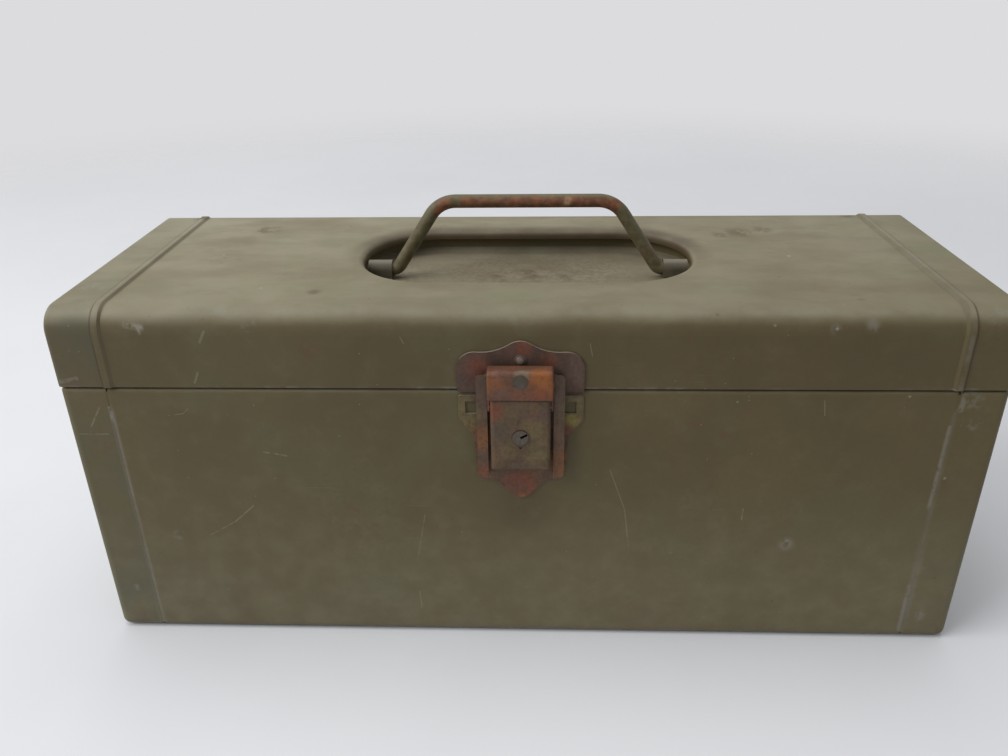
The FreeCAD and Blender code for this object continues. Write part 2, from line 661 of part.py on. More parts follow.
# Long hinge across the back
def hinge_leaf(label, up, knuckles, first_knuckle):
    """One leaf of the long hinge: plate, then a row of rolled knuckles on tangent tabs."""
    body = new_body(label)
    near_edge = f"{HINGE_Z} + {up} * leaf_setback"
    far_edge = f"{HINGE_Z} + {up} * leaf_height"
    low, high = (near_edge, far_edge) if up > 0 else (far_edge, near_edge)
    plate = new_sketch(body, "XZ_Plane", "plate", f"-({BACK} + film)")
    rectangle(plate, f"-{HINGE_HALF}", HINGE_HALF, low, high)
    pad(body, plate, "hinge_gauge", backwards=True)
    start = f"(-{HINGE_HALF} + {first_knuckle} * {PITCH} + knuckle_gap / 2)"
    tab = new_sketch(body, "YZ_Plane", "tab", start)
    tab_low, tab_high = (HINGE_Z, near_edge) if up > 0 else (near_edge, HINGE_Z)
    rectangle(tab, f"{BACK} + film", f"{BACK} + film + hinge_gauge", tab_low, tab_high)
    tab_pad = pad(body, tab, f"{PITCH} - knuckle_gap")
    ring = new_sketch(body, "YZ_Plane", "knuckle", start)
    circle(ring, HINGE_Y, HINGE_Z, "knuckle_radius")
    ring_pad = pad(body, ring, f"{PITCH} - knuckle_gap")
    doc.recompute()
    row = body.newObject("PartDesign::LinearPattern", f"{label}_row")
    row.Originals = [tab_pad, ring_pad]
    row.Direction = (ring, ["N_Axis"])
    row.setExpression("Length", bound(f"2 * {PITCH} * ({knuckles} - 1)"))
    row.setExpression("Occurrences", bound(knuckles))
    body.Tip = row
    bore = new_sketch(body, "YZ_Plane", "bore")
    circle(bore, HINGE_Y, HINGE_Z, "hinge_pin_radius + running_play")
    pocket(body, bore, f"2 * {HINGE_HALF} + 2", both_ways=True)
    return body


hinge_leaf("hinge_leaf_body", -1, "knuckle_pairs + 1", 0)
hinge_leaf("hinge_leaf_lid", 1, "knuckle_pairs", 1)

hinge_pin = new_body("hinge_pin")
pin_section = new_sketch(hinge_pin, "YZ_Plane", "section")
circle(pin_section, HINGE_Y, HINGE_Z, "hinge_pin_radius")
pad(hinge_pin, pin_section, f"2 * {HINGE_HALF} + 1", both_ways=True)

# Handle pan under the recess
handle_pan = new_body("handle_pan")
pan_top = f"({LID_TOP} - gauge - film)"
tub = new_sketch(handle_pan, "XY_Plane", "tub", pan_top)
recess_outline(tub, "(pan_margin + gauge)")
pad(handle_pan, tub, f"{pan_top} - {PAN_FLOOR} + gauge", backwards=True)
hollow = new_sketch(handle_pan, "XY_Plane", "hollow", pan_top)
recess_outline(hollow, "pan_margin")
pocket(handle_pan, hollow, f"{pan_top} - {PAN_FLOOR}")
chamfer(handle_pan, "hollow_bend", recess_edge("pan_margin", PAN_FLOOR), "pan_bend")
chamfer(handle_pan, "tub_bend", recess_edge("(pan_margin + gauge)", f"{PAN_FLOOR} - gauge"), "pan_bend + 0.5 * gauge")
flange = new_sketch(handle_pan, "XY_Plane", "flange", pan_top)
recess_outline(flange, "(pan_margin + pan_flange)")
recess_outline(flange, "pan_margin")
pad(handle_pan, flange, "gauge", backwards=True)

# Handle saddles: inverted U straps riveted to the pan floor over the turned-out wire ends
SADDLE_X = "(leg_half + saddle_setback)"
SADDLE_IN = "(wire_radius + saddle_play)"
SADDLE_OUT = f"({SADDLE_IN} + saddle_gauge)"
SADDLE_RIVET_Y = f"({SADDLE_OUT} + saddle_foot / 2)"


def saddle(label, side):
    body = new_body(label)
    section = new_sketch(body, "YZ_Plane", "section", f"{side} * {SADDLE_X}")
    middle = "recess_shift"
    crown = f"{PIVOT_Z} + {SADDLE_IN}"
    inner_round = f"{SADDLE_IN} - 0.15"
    outer_round = f"{SADDLE_OUT} - 0.15"
    toe = f"({SADDLE_OUT} + saddle_foot)"
    outline(section, [
        (f"{middle} - {toe}", PAN_FLOOR),
        (f"{middle} - {SADDLE_IN}", PAN_FLOOR),
        (f"{middle} - {SADDLE_IN}", crown, inner_round),
        (f"{middle} + {SADDLE_IN}", crown, inner_round),
        (f"{middle} + {SADDLE_IN}", PAN_FLOOR),
        (f"{middle} + {toe}", PAN_FLOOR),
        (f"{middle} + {toe}", f"{PAN_FLOOR} + saddle_gauge"),
        (f"{middle} + {SADDLE_OUT}", f"{PAN_FLOOR} + saddle_gauge"),
        (f"{middle} + {SADDLE_OUT}", f"{crown} + saddle_gauge", outer_round),
        (f"{middle} - {SADDLE_OUT}", f"{crown} + saddle_gauge", outer_round),
        (f"{middle} - {SADDLE_OUT}", f"{PAN_FLOOR} + saddle_gauge"),
        (f"{middle} - {toe}", f"{PAN_FLOOR} + saddle_gauge"),
    ])
    pad(body, section, "saddle_width", backwards=side < 0)
    holes = new_sketch(body, "XY_Plane", "holes", f"{PAN_FLOOR} + saddle_gauge")
    for sense in ("+", "-"):
        circle(holes, f"{side} * ({SADDLE_X} + saddle_width / 2)", f"{middle} {sense} {SADDLE_RIVET_Y}", "small_rivet_radius")
    pocket(body, holes, "2 * saddle_gauge")
    return body


saddle("handle_saddle_left", -1)
saddle("handle_saddle_right", 1)

SADDLE_RIVETS = [
    (f"{side} * ({SADDLE_X} + saddle_width / 2)", f"recess_shift {sense} {SADDLE_RIVET_Y}")
    for side in (-1, 1) for sense in ("+", "-")
]
pan_holes = new_sketch(handle_pan, "XY_Plane", "rivet_holes", f"{PAN_FLOOR}")
for hole_x, hole_y in SADDLE_RIVETS:
    circle(pan_holes, hole_x, hole_y, "small_rivet_radius")
pocket(handle_pan, pan_holes, "2 * gauge")


def rivet_group(label, role, places, head_plane, outward, grip, shank, head_radius, head_height, tail_height):
    """Rivets of one size through a stack of sheets: shank, a head outside and a tail inside.

    The sketches lie on the plane at head_plane, where the outer sheet ends; outward is +1
    where the plane's normal points out of the stack.
    """
    body = new_body(label)
    stem = new_sketch(body, role, "shanks", head_plane)
    heads = new_sketch(body, role, "heads", head_plane)
    tails = new_sketch(body, role, "tails", f"{head_plane} - {outward} * ({grip})")
    for across, up in places:
        circle(stem, across, up, shank)
        circle(heads, across, up, head_radius)
        circle(tails, across, up, head_radius)
    pad(body, stem, grip, backwards=outward > 0)
    pad(body, heads, head_height, backwards=outward < 0)
    pad(body, tails, tail_height, backwards=outward > 0)
    return body


saddle_rivets = rivet_group(
    "saddle_rivets", "XY_Plane", SADDLE_RIVETS, f"{PAN_FLOOR} + saddle_gauge", 1, "saddle_gauge + gauge",
    "small_rivet_radius", "small_rivet_head_radius", "small_rivet_head", "small_rivet_head",
)

# Handle: one bent wire
handle = new_body("handle")
route = new_sketch(handle, "XZ_Plane", "route", "-recess_shift")
GRIP_Z = f"{PIVOT_Z} + handle_reach"
outline(route, [
    ("-pivot_end", PIVOT_Z),
    ("-leg_half", PIVOT_Z, "foot_bend"),
    ("-grip_half", GRIP_Z, "grip_bend"),
    ("grip_half", GRIP_Z, "grip_bend"),
    ("leg_half", PIVOT_Z, "foot_bend"),
    ("pivot_end", PIVOT_Z),
], closed=False)
wire_end = new_sketch(handle, "YZ_Plane", "wire", "-pivot_end")
circle(wire_end, "recess_shift", PIVOT_Z, "wire_radius")
wire = handle.newObject("PartDesign::AdditivePipe", "handle_pipe")
wire.Profile = wire_end
wire.Spine = (route, [""])

# Strike plate on the lid, with the ledge that the hook draws down
strike_plate = new_body("strike_plate")
strike = new_sketch(strike_plate, "XZ_Plane", "face", BACK)
STRIKE_FOOT = "(body_height - strike_overhang)"
STRIKE_SHOULDER = "(body_height + strike_shoulder)"
outline(strike, [
    ("-plate_half_width", STRIKE_FOOT),
    ("plate_half_width", STRIKE_FOOT),
    ("plate_half_width", STRIKE_SHOULDER, "plate_corner"),
    ("crown_half_width", f"{STRIKE_SHOULDER} - 1", "crown_flare"),
    ("0", "body_height + strike_crown", "crown_radius"),
    ("-crown_half_width", f"{STRIKE_SHOULDER} - 1", "crown_flare"),
    ("-plate_half_width", STRIKE_SHOULDER, "plate_corner"),
])
pad(strike_plate, strike, "strike_gauge")
ledge = new_sketch(strike_plate, "XZ_Plane", "ledge", f"{BACK} + strike_gauge")
LEDGE_LOW = "(body_height + ledge_height)"
rectangle(ledge, "-ledge_half_width", "ledge_half_width", LEDGE_LOW, f"{LEDGE_LOW} + ledge_gauge")
pad(strike_plate, ledge, "ledge_reach")
rivet_holes(strike_plate, "rivet_holes", STRIKE_RIVETS + CROWN_RIVET, f"{BACK} + strike_gauge", "strike_gauge")

strike_rivets = rivet_group(
    "strike_rivets", "XZ_Plane", STRIKE_RIVETS, f"{BACK} + strike_gauge", 1, "strike_gauge + gauge",
    "rivet_radius", "rivet_head_radius", "rivet_head", "rivet_head",
)
crown_rivet = rivet_group(
    "crown_rivet", "XZ_Plane", CROWN_RIVET, f"{BACK} + strike_gauge", 1, "strike_gauge + gauge",
    "rivet_radius", "crown_rivet_radius", "crown_rivet_head", "rivet_head",
)

# Latch base on the body: shield-shaped plate with windows and two raised rails
latch_base = new_body("latch_base")
shield = new_sketch(latch_base, "XZ_Plane", "face", BACK)


def below(drop):
    return f"body_height - {drop}"


outline(shield, [
    ("0", below("tip_drop"), "tip_radius"),
    ("tip_half_width", below("base_foot_drop"), "8"),
    ("base_foot_half_width", below("base_foot_drop"), "5"),
    ("waist_half_width", below("waist_drop"), "5"),
    ("plate_half_width", below("wing_drop"), "4"),
    ("plate_half_width", below("base_top"), "1.5"),
    ("-plate_half_width", below("base_top"), "1.5"),
    ("-plate_half_width", below("wing_drop"), "4"),
    ("-waist_half_width", below("waist_drop"), "5"),
    ("-base_foot_half_width", below("base_foot_drop"), "5"),
    ("-tip_half_width", below("base_foot_drop"), "8"),
])
pad(latch_base, shield, "latch_gauge")
windows = new_sketch(latch_base, "XZ_Plane", "windows", f"{BACK} + latch_gauge")
WINDOW_LOW = below("(window_top_drop + window_height)")
rectangle(windows, "rail_half_gap + rail_gauge", "window_outer", WINDOW_LOW, below("window_top_drop"))
rectangle(windows, "-window_outer", "-(rail_half_gap + rail_gauge)", WINDOW_LOW, below("window_top_drop"))
pocket(latch_base, windows, "latch_gauge")
rivet_holes(latch_base, "rivet_holes", BASE_RIVETS, f"{BACK} + latch_gauge", "latch_gauge")

RAIL_TOP = "(body_height + rail_top)"
RAIL_BACK = f"({FRONT} - strike_gauge - rail_lid_gap)"
rail_web = new_sketch(latch_base, "YZ_Plane", "rail_web", "rail_half_gap")
outline(rail_web, [
    (f"{FRONT} - rail_reach", below("rail_foot_drop")),
    (f"{FRONT} - latch_gauge / 2", below("rail_foot_drop")),
    (f"{FRONT} - latch_gauge / 2", below("(base_top + 0.5)")),
    (RAIL_BACK, below("(base_top + 0.5)")),
    (RAIL_BACK, RAIL_TOP, "2"),
    (f"{FRONT} - rail_reach", RAIL_TOP),
])
web_pad = pad(latch_base, rail_web, "rail_gauge")
rail_flange = new_sketch(latch_base, "XZ_Plane", "rail_flange", f"{BACK} + rail_reach")
outline(rail_flange, [
    ("rail_half_gap", below("rail_foot_drop")),
    ("rail_outer", below("rail_foot_drop"), "2"),
    ("rail_outer", RAIL_TOP, "2"),
    ("rail_half_gap", RAIL_TOP),
])
flange_pad = pad(latch_base, rail_flange, "rail_gauge", backwards=True)
doc.recompute()
mirrored(latch_base, [web_pad, flange_pad])
rail_bore = new_sketch(latch_base, "YZ_Plane", "pivot_bore")
circle(rail_bore, *LEVER_PIVOT, "lever_pin_radius")
pocket(latch_base, rail_bore, "2 * (rail_half_gap + 2 * rail_gauge)", both_ways=True)

latch_base_rivets = rivet_group(
    "latch_base_rivets", "XZ_Plane", BASE_RIVETS, f"{BACK} + latch_gauge", 1, "latch_gauge + gauge",
    "rivet_radius", "rivet_head_radius", "rivet_head", "rivet_head",
)


def cross_pin(label, pivot, radius, half_length, head_radius, head_height):
    """A pin along X with a flat head at each end."""
    body = new_body(label)
    shank = new_sketch(body, "YZ_Plane", "shank")
    circle(shank, *pivot, radius)
    pad(body, shank, f"2 * {half_length}", both_ways=True)
    head = new_sketch(body, "YZ_Plane", "head", half_length)
    circle(head, *pivot, head_radius)
    head_pad = pad(body, head, head_height)
    doc.recompute()
    mirrored(body, [head_pad])
    return body


cross_pin(
    "latch_pivot_pin", LEVER_PIVOT, "lever_pin_radius", "(rail_half_gap + rail_gauge)",
    "lever_pin_radius + 0.25", "0.8",
)

# Keeper that the lock cam turns behind
lock_keeper = new_body("lock_keeper")
keeper = new_sketch(lock_keeper, "XY_Plane", "section", f"{LOCK_Z} - keeper_height / 2")
KEEPER_IN = f"-({CAM_TIP} - keeper_grip)"
KEEPER_OUT = f"-({CAM_TIP} + 2 * cam_gauge)"
KEEPER_UNDER = f"({FRONT} - ({CAM_OUT} + keeper_gap))"
outline(keeper, [
    (KEEPER_OUT, f"{FRONT} - latch_gauge - film"),
    (KEEPER_OUT, f"{KEEPER_UNDER} - cam_gauge", "cam_gauge"),
    (KEEPER_IN, f"{KEEPER_UNDER} - cam_gauge"),
    (KEEPER_IN, KEEPER_UNDER),
    (f"{KEEPER_OUT} + cam_gauge", KEEPER_UNDER),
    (f"{KEEPER_OUT} + cam_gauge", f"{FRONT} - latch_gauge - film"),
])
pad(lock_keeper, keeper, "keeper_height")

# Lock case, which is the latch lever
latch_lever = new_body("latch_lever")
LEVER_LOW = below("lever_foot_drop")
LEVER_HIGH = below("lever_top_drop")
case = new_sketch(latch_lever, "XZ_Plane", "case", f"{BACK} + lever_back")
rectangle(case, "-lever_half_width", "lever_half_width", LEVER_LOW, LEVER_HIGH)
pad(latch_lever, case, "lever_front - lever_back")
case_front = value(f"{FRONT} - lever_front")
case_low = value(LEVER_LOW)
case_high = value(LEVER_HIGH)


def case_edges(edge):
    """The front edges of the lock case, apart from the top one."""
    box = edge.BoundBox
    at_front = near(box.YMin, case_front) and near(box.YMax, case_front)
    at_top = near(box.ZMin, case_high) and near(box.ZMax, case_high)
    return at_front and not at_top


fillet(latch_lever, "edges", case_edges, "lever_round")
case_back = value(f"{FRONT} - lever_back")
shell(
    latch_lever, "shell",
    lambda face: near(face.BoundBox.YMin, case_back) or near(face.BoundBox.ZMin, case_high),
    "latch_gauge",
)
ear = new_sketch(latch_lever, "YZ_Plane", "ear", "lever_half_width - latch_gauge")
outline(ear, [
    (f"{LEVER_PIVOT[0]} - lever_eye", below("4 * lever_eye")),
    (f"{LEVER_PIVOT[0]} + 1", below("4 * lever_eye")),
    (f"{LEVER_PIVOT[0]} + lever_eye", below("1.5 * lever_eye")),
    (f"{LEVER_PIVOT[0]} + lever_eye", f"{LEVER_PIVOT[1]} + lever_eye", "lever_eye - 0.1"),
    (f"{LEVER_PIVOT[0]} - lever_eye", f"{LEVER_PIVOT[1]} + lever_eye", "lever_eye - 0.1"),
])
ear_pad = pad(latch_lever, ear, "latch_gauge")
doc.recompute()
mirrored(latch_lever, [ear_pad])
lever_bores = new_sketch(latch_lever, "YZ_Plane", "pivot_bores")
circle(lever_bores, *LEVER_PIVOT, "lever_pin_radius + running_play")
circle(lever_bores, *CLAW_PIVOT, "claw_pin_radius")
pocket(latch_lever, lever_bores, "3 * lever_half_width", both_ways=True)
plug_hole = new_sketch(latch_lever, "XZ_Plane", "plug_hole", f"{BACK} + lever_front")
circle(plug_hole, "0", LOCK_Z, "plug_radius + running_play")
circle(plug_hole, "0", f"{LOCK_Z} - plug_radius - 1.6 * mark_radius", "mark_radius")
pocket(latch_lever, plug_hole, "2 * latch_gauge")

# Claw: hood, hook plate behind it and the flush rivet through both
latch_claw = new_body("latch_claw")
CLAW_LOW = "body_height + claw_foot_rise"
CLAW_HIGH = "(body_height + claw_top_rise)"
hood = new_sketch(latch_claw, "XZ_Plane", "hood", f"{BACK} + claw_lip")
rectangle(hood, "-claw_half_width", "claw_half_width", CLAW_LOW, CLAW_HIGH)
pad(latch_claw, hood, "claw_front - claw_lip")
hood_front = value(f"{FRONT} - claw_front")
hood_high = value(CLAW_HIGH)
hood_low = value(CLAW_LOW)
hood_half = value("claw_half_width")


def hood_top_edge(edge):
    box = edge.BoundBox
    return near(box.YMin, hood_front) and near(box.YMax, hood_front) and near(box.ZMin, hood_high)


def hood_side_edges(edge):
    box = edge.BoundBox
    upright = near(abs(box.XMin), hood_half) and near(box.XMin, box.XMax)
    return upright and near(box.YMin, hood_front) and near(box.YMax, hood_front)


fillet(latch_claw, "top_round", hood_top_edge, "claw_round")
fillet(latch_claw, "side_round", hood_side_edges, "1.3 * latch_gauge")
hood_back = value(f"{FRONT} - claw_lip")
shell(
    latch_claw, "shell",
    lambda face: near(face.BoundBox.YMin, hood_back) or near(face.BoundBox.ZMax, hood_low),
    "latch_gauge",
)
cheek = new_sketch(latch_claw, "YZ_Plane", "cheek")
outline(cheek, [
    (f"{FRONT} - claw_lip + 1", f"{CLAW_LOW} - 1"),
    (f"{FRONT} - claw_lip + 1", f"{CLAW_HIGH} - 2 * latch_gauge"),
    (f"{FRONT} - claw_cheek + 1", f"{CLAW_HIGH} - 2 * latch_gauge"),
    (f"{FRONT} - claw_cheek", f"{CLAW_HIGH} - 3 * latch_gauge"),
    (f"{FRONT} - claw_cheek", f"{CLAW_LOW} - 1"),
])
pocket(latch_claw, cheek, "3 * claw_half_width", both_ways=True)
claw_ear = new_sketch(latch_claw, "YZ_Plane", "ear", "claw_half_width - latch_gauge")
outline(claw_ear, [
    (f"{CLAW_PIVOT[0]} + claw_eye", f"{CLAW_PIVOT[1]} - claw_eye", "claw_eye - 0.1"),
    (f"{CLAW_PIVOT[0]} + claw_eye", f"{CLAW_PIVOT[1]} + 1.5 * claw_eye"),
    (f"{FRONT} - claw_cheek", f"{CLAW_LOW} + 3"),
    (f"{CLAW_PIVOT[0]} - claw_eye - 0.8", f"{CLAW_LOW} + 3"),
    (f"{CLAW_PIVOT[0]} - claw_eye", f"{CLAW_PIVOT[1]} + claw_eye"),
    (f"{CLAW_PIVOT[0]} - claw_eye", f"{CLAW_PIVOT[1]} - claw_eye", "claw_eye - 0.1"),
])
claw_ear_pad = pad(latch_claw, claw_ear, "latch_gauge")
doc.recompute()
mirrored(latch_claw, [claw_ear_pad])
claw_bore = new_sketch(latch_claw, "YZ_Plane", "pivot_bore")
circle(claw_bore, *CLAW_PIVOT, "claw_pin_radius + running_play")
pocket(latch_claw, claw_bore, "3 * claw_half_width", both_ways=True)
HOOD_RIVET = [("0", "body_height + hood_rivet_rise")]
rivet_holes(latch_claw, "rivet_hole", HOOD_RIVET, f"{BACK} + claw_front", "2 * latch_gauge", "hood_rivet_radius")

claw_hook = new_body("claw_hook")
HOOK_OUT = "(claw_front - latch_gauge - film)"
HOOK_IN = f"({HOOK_OUT} - hook_gauge)"
HOOK_LOW = f"({LEDGE_LOW} + ledge_gauge + hook_play)"
hook_side = new_sketch(claw_hook, "YZ_Plane", "section")
outline(hook_side, [
    (f"{FRONT} - {HOOK_OUT}", f"{CLAW_LOW} + 1"),
    (f"{FRONT} - {HOOK_IN}", f"{CLAW_LOW} + 1"),
    (f"{FRONT} - {HOOK_IN}", HOOK_LOW),
    (f"{FRONT} - claw_lip - 1", HOOK_LOW),
    (f"{FRONT} - claw_lip - 1", f"{CLAW_HIGH} - latch_gauge - film"),
    (f"{FRONT} - {HOOK_OUT}", f"{CLAW_HIGH} - latch_gauge - film", "claw_round - latch_gauge"),
])
pad(claw_hook, hook_side, "2 * hook_half_width", both_ways=True)
rivet_holes(
    claw_hook, "rivet_hole", HOOD_RIVET, f"{BACK} + {HOOK_OUT}", "hook_gauge + film", "rivet_radius",
)

claw_rivet = new_body("claw_rivet")
flush_head = new_sketch(claw_rivet, "XZ_Plane", "head", f"{BACK} + claw_front - latch_gauge - film")
circle(flush_head, *HOOD_RIVET[0], "hood_rivet_radius - film / 2")
pad(claw_rivet, flush_head, "latch_gauge + 2 * film")
flush_stem = new_sketch(claw_rivet, "XZ_Plane", "stem", f"{BACK} + {HOOK_IN}")
circle(flush_stem, *HOOD_RIVET[0], "rivet_radius")
pad(claw_rivet, flush_stem, "hook_gauge + film")
flush_tail = new_sketch(claw_rivet, "XZ_Plane", "tail", f"{BACK} + {HOOK_IN}")
circle(flush_tail, *HOOD_RIVET[0], "rivet_head_radius")
pad(claw_rivet, flush_tail, "rivet_head / 2", backwards=True)

cross_pin(
    "claw_pin", CLAW_PIVOT, "claw_pin_radius", "(claw_half_width - latch_gauge / 2)",
    "claw_pin_radius", "latch_gauge / 2",
)

# Lock: housing in the case, plug in the housing, cam on the plug's tail
lock_housing = new_body("lock_housing")
barrel = new_sketch(lock_housing, "XZ_Plane", "barrel", f"{BACK} + plug_tail + cam_gauge")
circle(barrel, "0", LOCK_Z, HOUSING_RADIUS)
circle(barrel, "0", LOCK_Z, "plug_radius + running_play")
pad(lock_housing, barrel, "lever_front - latch_gauge - film - plug_tail - cam_gauge")
seat = new_sketch(lock_housing, "XZ_Plane", "seat", f"{BACK} + lever_front - 2 * latch_gauge - film")
rectangle(
    seat, "-(lever_half_width - 3 * latch_gauge)", "lever_half_width - 3 * latch_gauge",
    f"{LOCK_Z} - 1.8 * plug_radius", f"{LOCK_Z} + 1.8 * plug_radius", "2",
)
circle(seat, "0", LOCK_Z, "plug_radius + running_play")
circle(seat, "0", f"{LOCK_Z} - plug_radius - 1.6 * mark_radius", "mark_radius")
pad(lock_housing, seat, "latch_gauge")

lock_plug = new_body("lock_plug")
plug = new_sketch(lock_plug, "XZ_Plane", "plug", f"{BACK} + plug_tail")
circle(plug, "0", LOCK_Z, "plug_radius")
pad(lock_plug, plug, "lever_front + plug_proud - plug_tail")


def turned(along, across, angle):
    """A point given along and across a hand that turns clockwise from upright, about the lock."""
    level = f"({along}) * sin({angle}) + ({across}) * cos({angle})"
    upright = f"{LOCK_Z} + ({along}) * cos({angle}) - ({across}) * sin({angle})"
    return level, upright


key_slot = new_sketch(lock_plug, "XZ_Plane", "key_slot", f"{BACK} + lever_front + plug_proud")
SLOT_ANGLE = "(key_slot_turn * 1 deg)"
outline(key_slot, [
    turned("0", "-key_slot_width / 2", SLOT_ANGLE),
    turned("0", "key_slot_width / 2", SLOT_ANGLE),
    turned("key_slot_length", "key_slot_width / 2", SLOT_ANGLE),
    turned("key_slot_length", "-key_slot_width / 2", SLOT_ANGLE),
])
pocket(lock_plug, key_slot, "key_slot_depth")

lock_cam = new_body("lock_cam")
hub = new_sketch(lock_cam, "XZ_Plane", "hub", f"{BACK} + {CAM_OUT} - cam_gauge")
circle(hub, "0", LOCK_Z, "plug_radius - 0.6")
pad(lock_cam, hub, "cam_gauge")
tongue = new_sketch(lock_cam, "XZ_Plane", "tongue", f"{BACK} + {CAM_OUT} - cam_gauge")
CAM_ANGLE = "(cam_turn * 1 deg)"
outline(tongue, [
    turned("0", "-cam_half_width", CAM_ANGLE),
    turned("0", "cam_half_width", CAM_ANGLE),
    turned(CAM_TIP, "cam_half_width", CAM_ANGLE) + ("1",),
    turned(CAM_TIP, "-cam_half_width", CAM_ANGLE) + ("1",),
])
pad(lock_cam, tongue, "cam_gauge")

# Tray and its dividers
tray_pan = new_body("tray_pan")
tray_plan = new_sketch(tray_pan, "XY_Plane", "plan", TRAY_FLOOR)
rectangle(tray_plan, "-tray_half_width", "tray_half_width", TRAY_FRONT, TRAY_BACK, "tray_round")
pad(tray_pan, tray_plan, "tray_height")
tray_low = value(TRAY_FLOOR)
tray_high = value(TRAY_TOP)
fillet(
    tray_pan, "floor_bend",
    lambda edge: near(edge.BoundBox.ZMin, tray_low) and near(edge.BoundBox.ZMax, tray_low),
    "tray_round * 0.9",
)
shell(tray_pan, "shell", lambda face: near(face.BoundBox.ZMin, tray_high), "tray_gauge")
HANGER_HOLES = [(f"{TRAY_BACK} - 7", f"{TRAY_TOP} - 8"), (f"{TRAY_BACK} - 23", f"{TRAY_TOP} - 8")]
tray_holes = new_sketch(tray_pan, "YZ_Plane", "rivet_holes")
for hole_y, hole_z in HANGER_HOLES:
    circle(tray_holes, hole_y, hole_z, "small_rivet_radius")
pocket(tray_pan, tray_holes, "2 * tray_half_width + 2", both_ways=True)

INNER_FLOOR = f"({TRAY_FLOOR} + tray_gauge + film)"
DIVIDER_TOP = f"({INNER_FLOOR} + divider_height)"
INNER_HALF = "(tray_half_width - tray_gauge - film)"
ROW_SPLIT = f"(({TRAY_FRONT} + {TRAY_BACK}) / 2)"

long_divider = new_body("tray_divider_long")
long_plan = new_sketch(long_divider, "XZ_Plane", "face", f"-{ROW_SPLIT}")
rectangle(long_plan, f"-{INNER_HALF}", INNER_HALF, INNER_FLOOR, DIVIDER_TOP)
pad(long_divider, long_plan, "tray_gauge", both_ways=True)


def cross_dividers(label, count_alias, row_front, row_back):
    """Equal cross dividers of one row, as separate plates."""
    body = new_body(label)
    plan = new_sketch(body, "XY_Plane", "plan", INNER_FLOOR)
    count = int(value(count_alias))
    for index in range(1, count + 1):
        middle = f"(-{INNER_HALF} + {index} * 2 * {INNER_HALF} / ({count_alias} + 1))"
        rectangle(plan, f"{middle} - tray_gauge / 2", f"{middle} + tray_gauge / 2", row_front, row_back)
    pad(body, plan, "divider_height")
    return body


cross_dividers(
    "tray_dividers_front", "front_dividers",
    f"{TRAY_FRONT} + tray_gauge + film", f"{ROW_SPLIT} - tray_gauge / 2 - film",
)
cross_dividers(
    "tray_dividers_back", "back_dividers",
    f"{ROW_SPLIT} + tray_gauge / 2 + film", f"{TRAY_BACK} - tray_gauge - film",
)


# Hangers, arms and studs of the tray
def hanger(label, side):
    body = new_body(label)
    face = new_sketch(body, "YZ_Plane", "face", f"{side} * {HANGER_X}")
    outline(face, [
        (f"{TRAY_BACK} - 28", f"{TRAY_TOP} - 14", "3"),
        (f"{TRAY_BACK} - 2", f"{TRAY_TOP} - 14", "3"),
        (f"{LID_PIVOT[0]} + stud_head_radius + 1.5", LID_PIVOT[1]),
        (f"{LID_PIVOT[0]} - stud_head_radius - 1.5", LID_PIVOT[1]),
        (f"{TRAY_BACK} - 28", f"{TRAY_TOP} - 4", "3"),
    ])
    pad(body, face, "arm_gauge", backwards=side < 0)
    eye = new_sketch(body, "YZ_Plane", "eye", f"{side} * {HANGER_X}")
    circle(eye, *LID_PIVOT, "stud_head_radius + 1.5")
    pad(body, eye, "arm_gauge", backwards=side < 0)
    holes = new_sketch(body, "YZ_Plane", "holes", f"{side} * ({HANGER_X} - 1)")
    circle(holes, *LID_PIVOT, "stud_radius + running_play")
    for hole_y, hole_z in HANGER_HOLES:
        circle(holes, hole_y, hole_z, "small_rivet_radius")
    pocket(body, holes, "arm_gauge + 2", backwards=side > 0)
    return body


def arm(label, side):
    """Flat bar with an eye at each end, between the body's stud and the tray's stud."""
    body = new_body(label)
    plane = f"{side} * {ARM_X}"
    length = "sqrt(swing_back ^ 2 + swing_rise ^ 2)"
    shift_y = f"(arm_width / 2 * swing_rise / {length})"
    shift_z = f"(arm_width / 2 * swing_back / {length})"
    bar = new_sketch(body, "YZ_Plane", "bar", plane)
    outline(bar, [
        (f"{BODY_PIVOT[0]} - {shift_y}", f"{BODY_PIVOT[1]} - {shift_z}"),
        (f"{BODY_PIVOT[0]} + {shift_y}", f"{BODY_PIVOT[1]} + {shift_z}"),
        (f"{TRAY_PIVOT[0]} + {shift_y}", f"{TRAY_PIVOT[1]} + {shift_z}"),
        (f"{TRAY_PIVOT[0]} - {shift_y}", f"{TRAY_PIVOT[1]} - {shift_z}"),
    ])
    pad(body, bar, "arm_gauge", backwards=side < 0)
    for name, pivot in (("body_eye", BODY_PIVOT), ("tray_eye", TRAY_PIVOT)):
        eye = new_sketch(body, "YZ_Plane", name, plane)
        circle(eye, *pivot, "eye_radius")
        pad(body, eye, "arm_gauge", backwards=side < 0)
    holes = new_sketch(body, "YZ_Plane", "holes", f"{side} * ({ARM_X} - 1)")
    circle(holes, *BODY_PIVOT, "stud_radius + running_play")
    circle(holes, *TRAY_PIVOT, "stud_radius + open_pivot_play")
    pocket(body, holes, "arm_gauge + 2", backwards=side > 0)
    return body


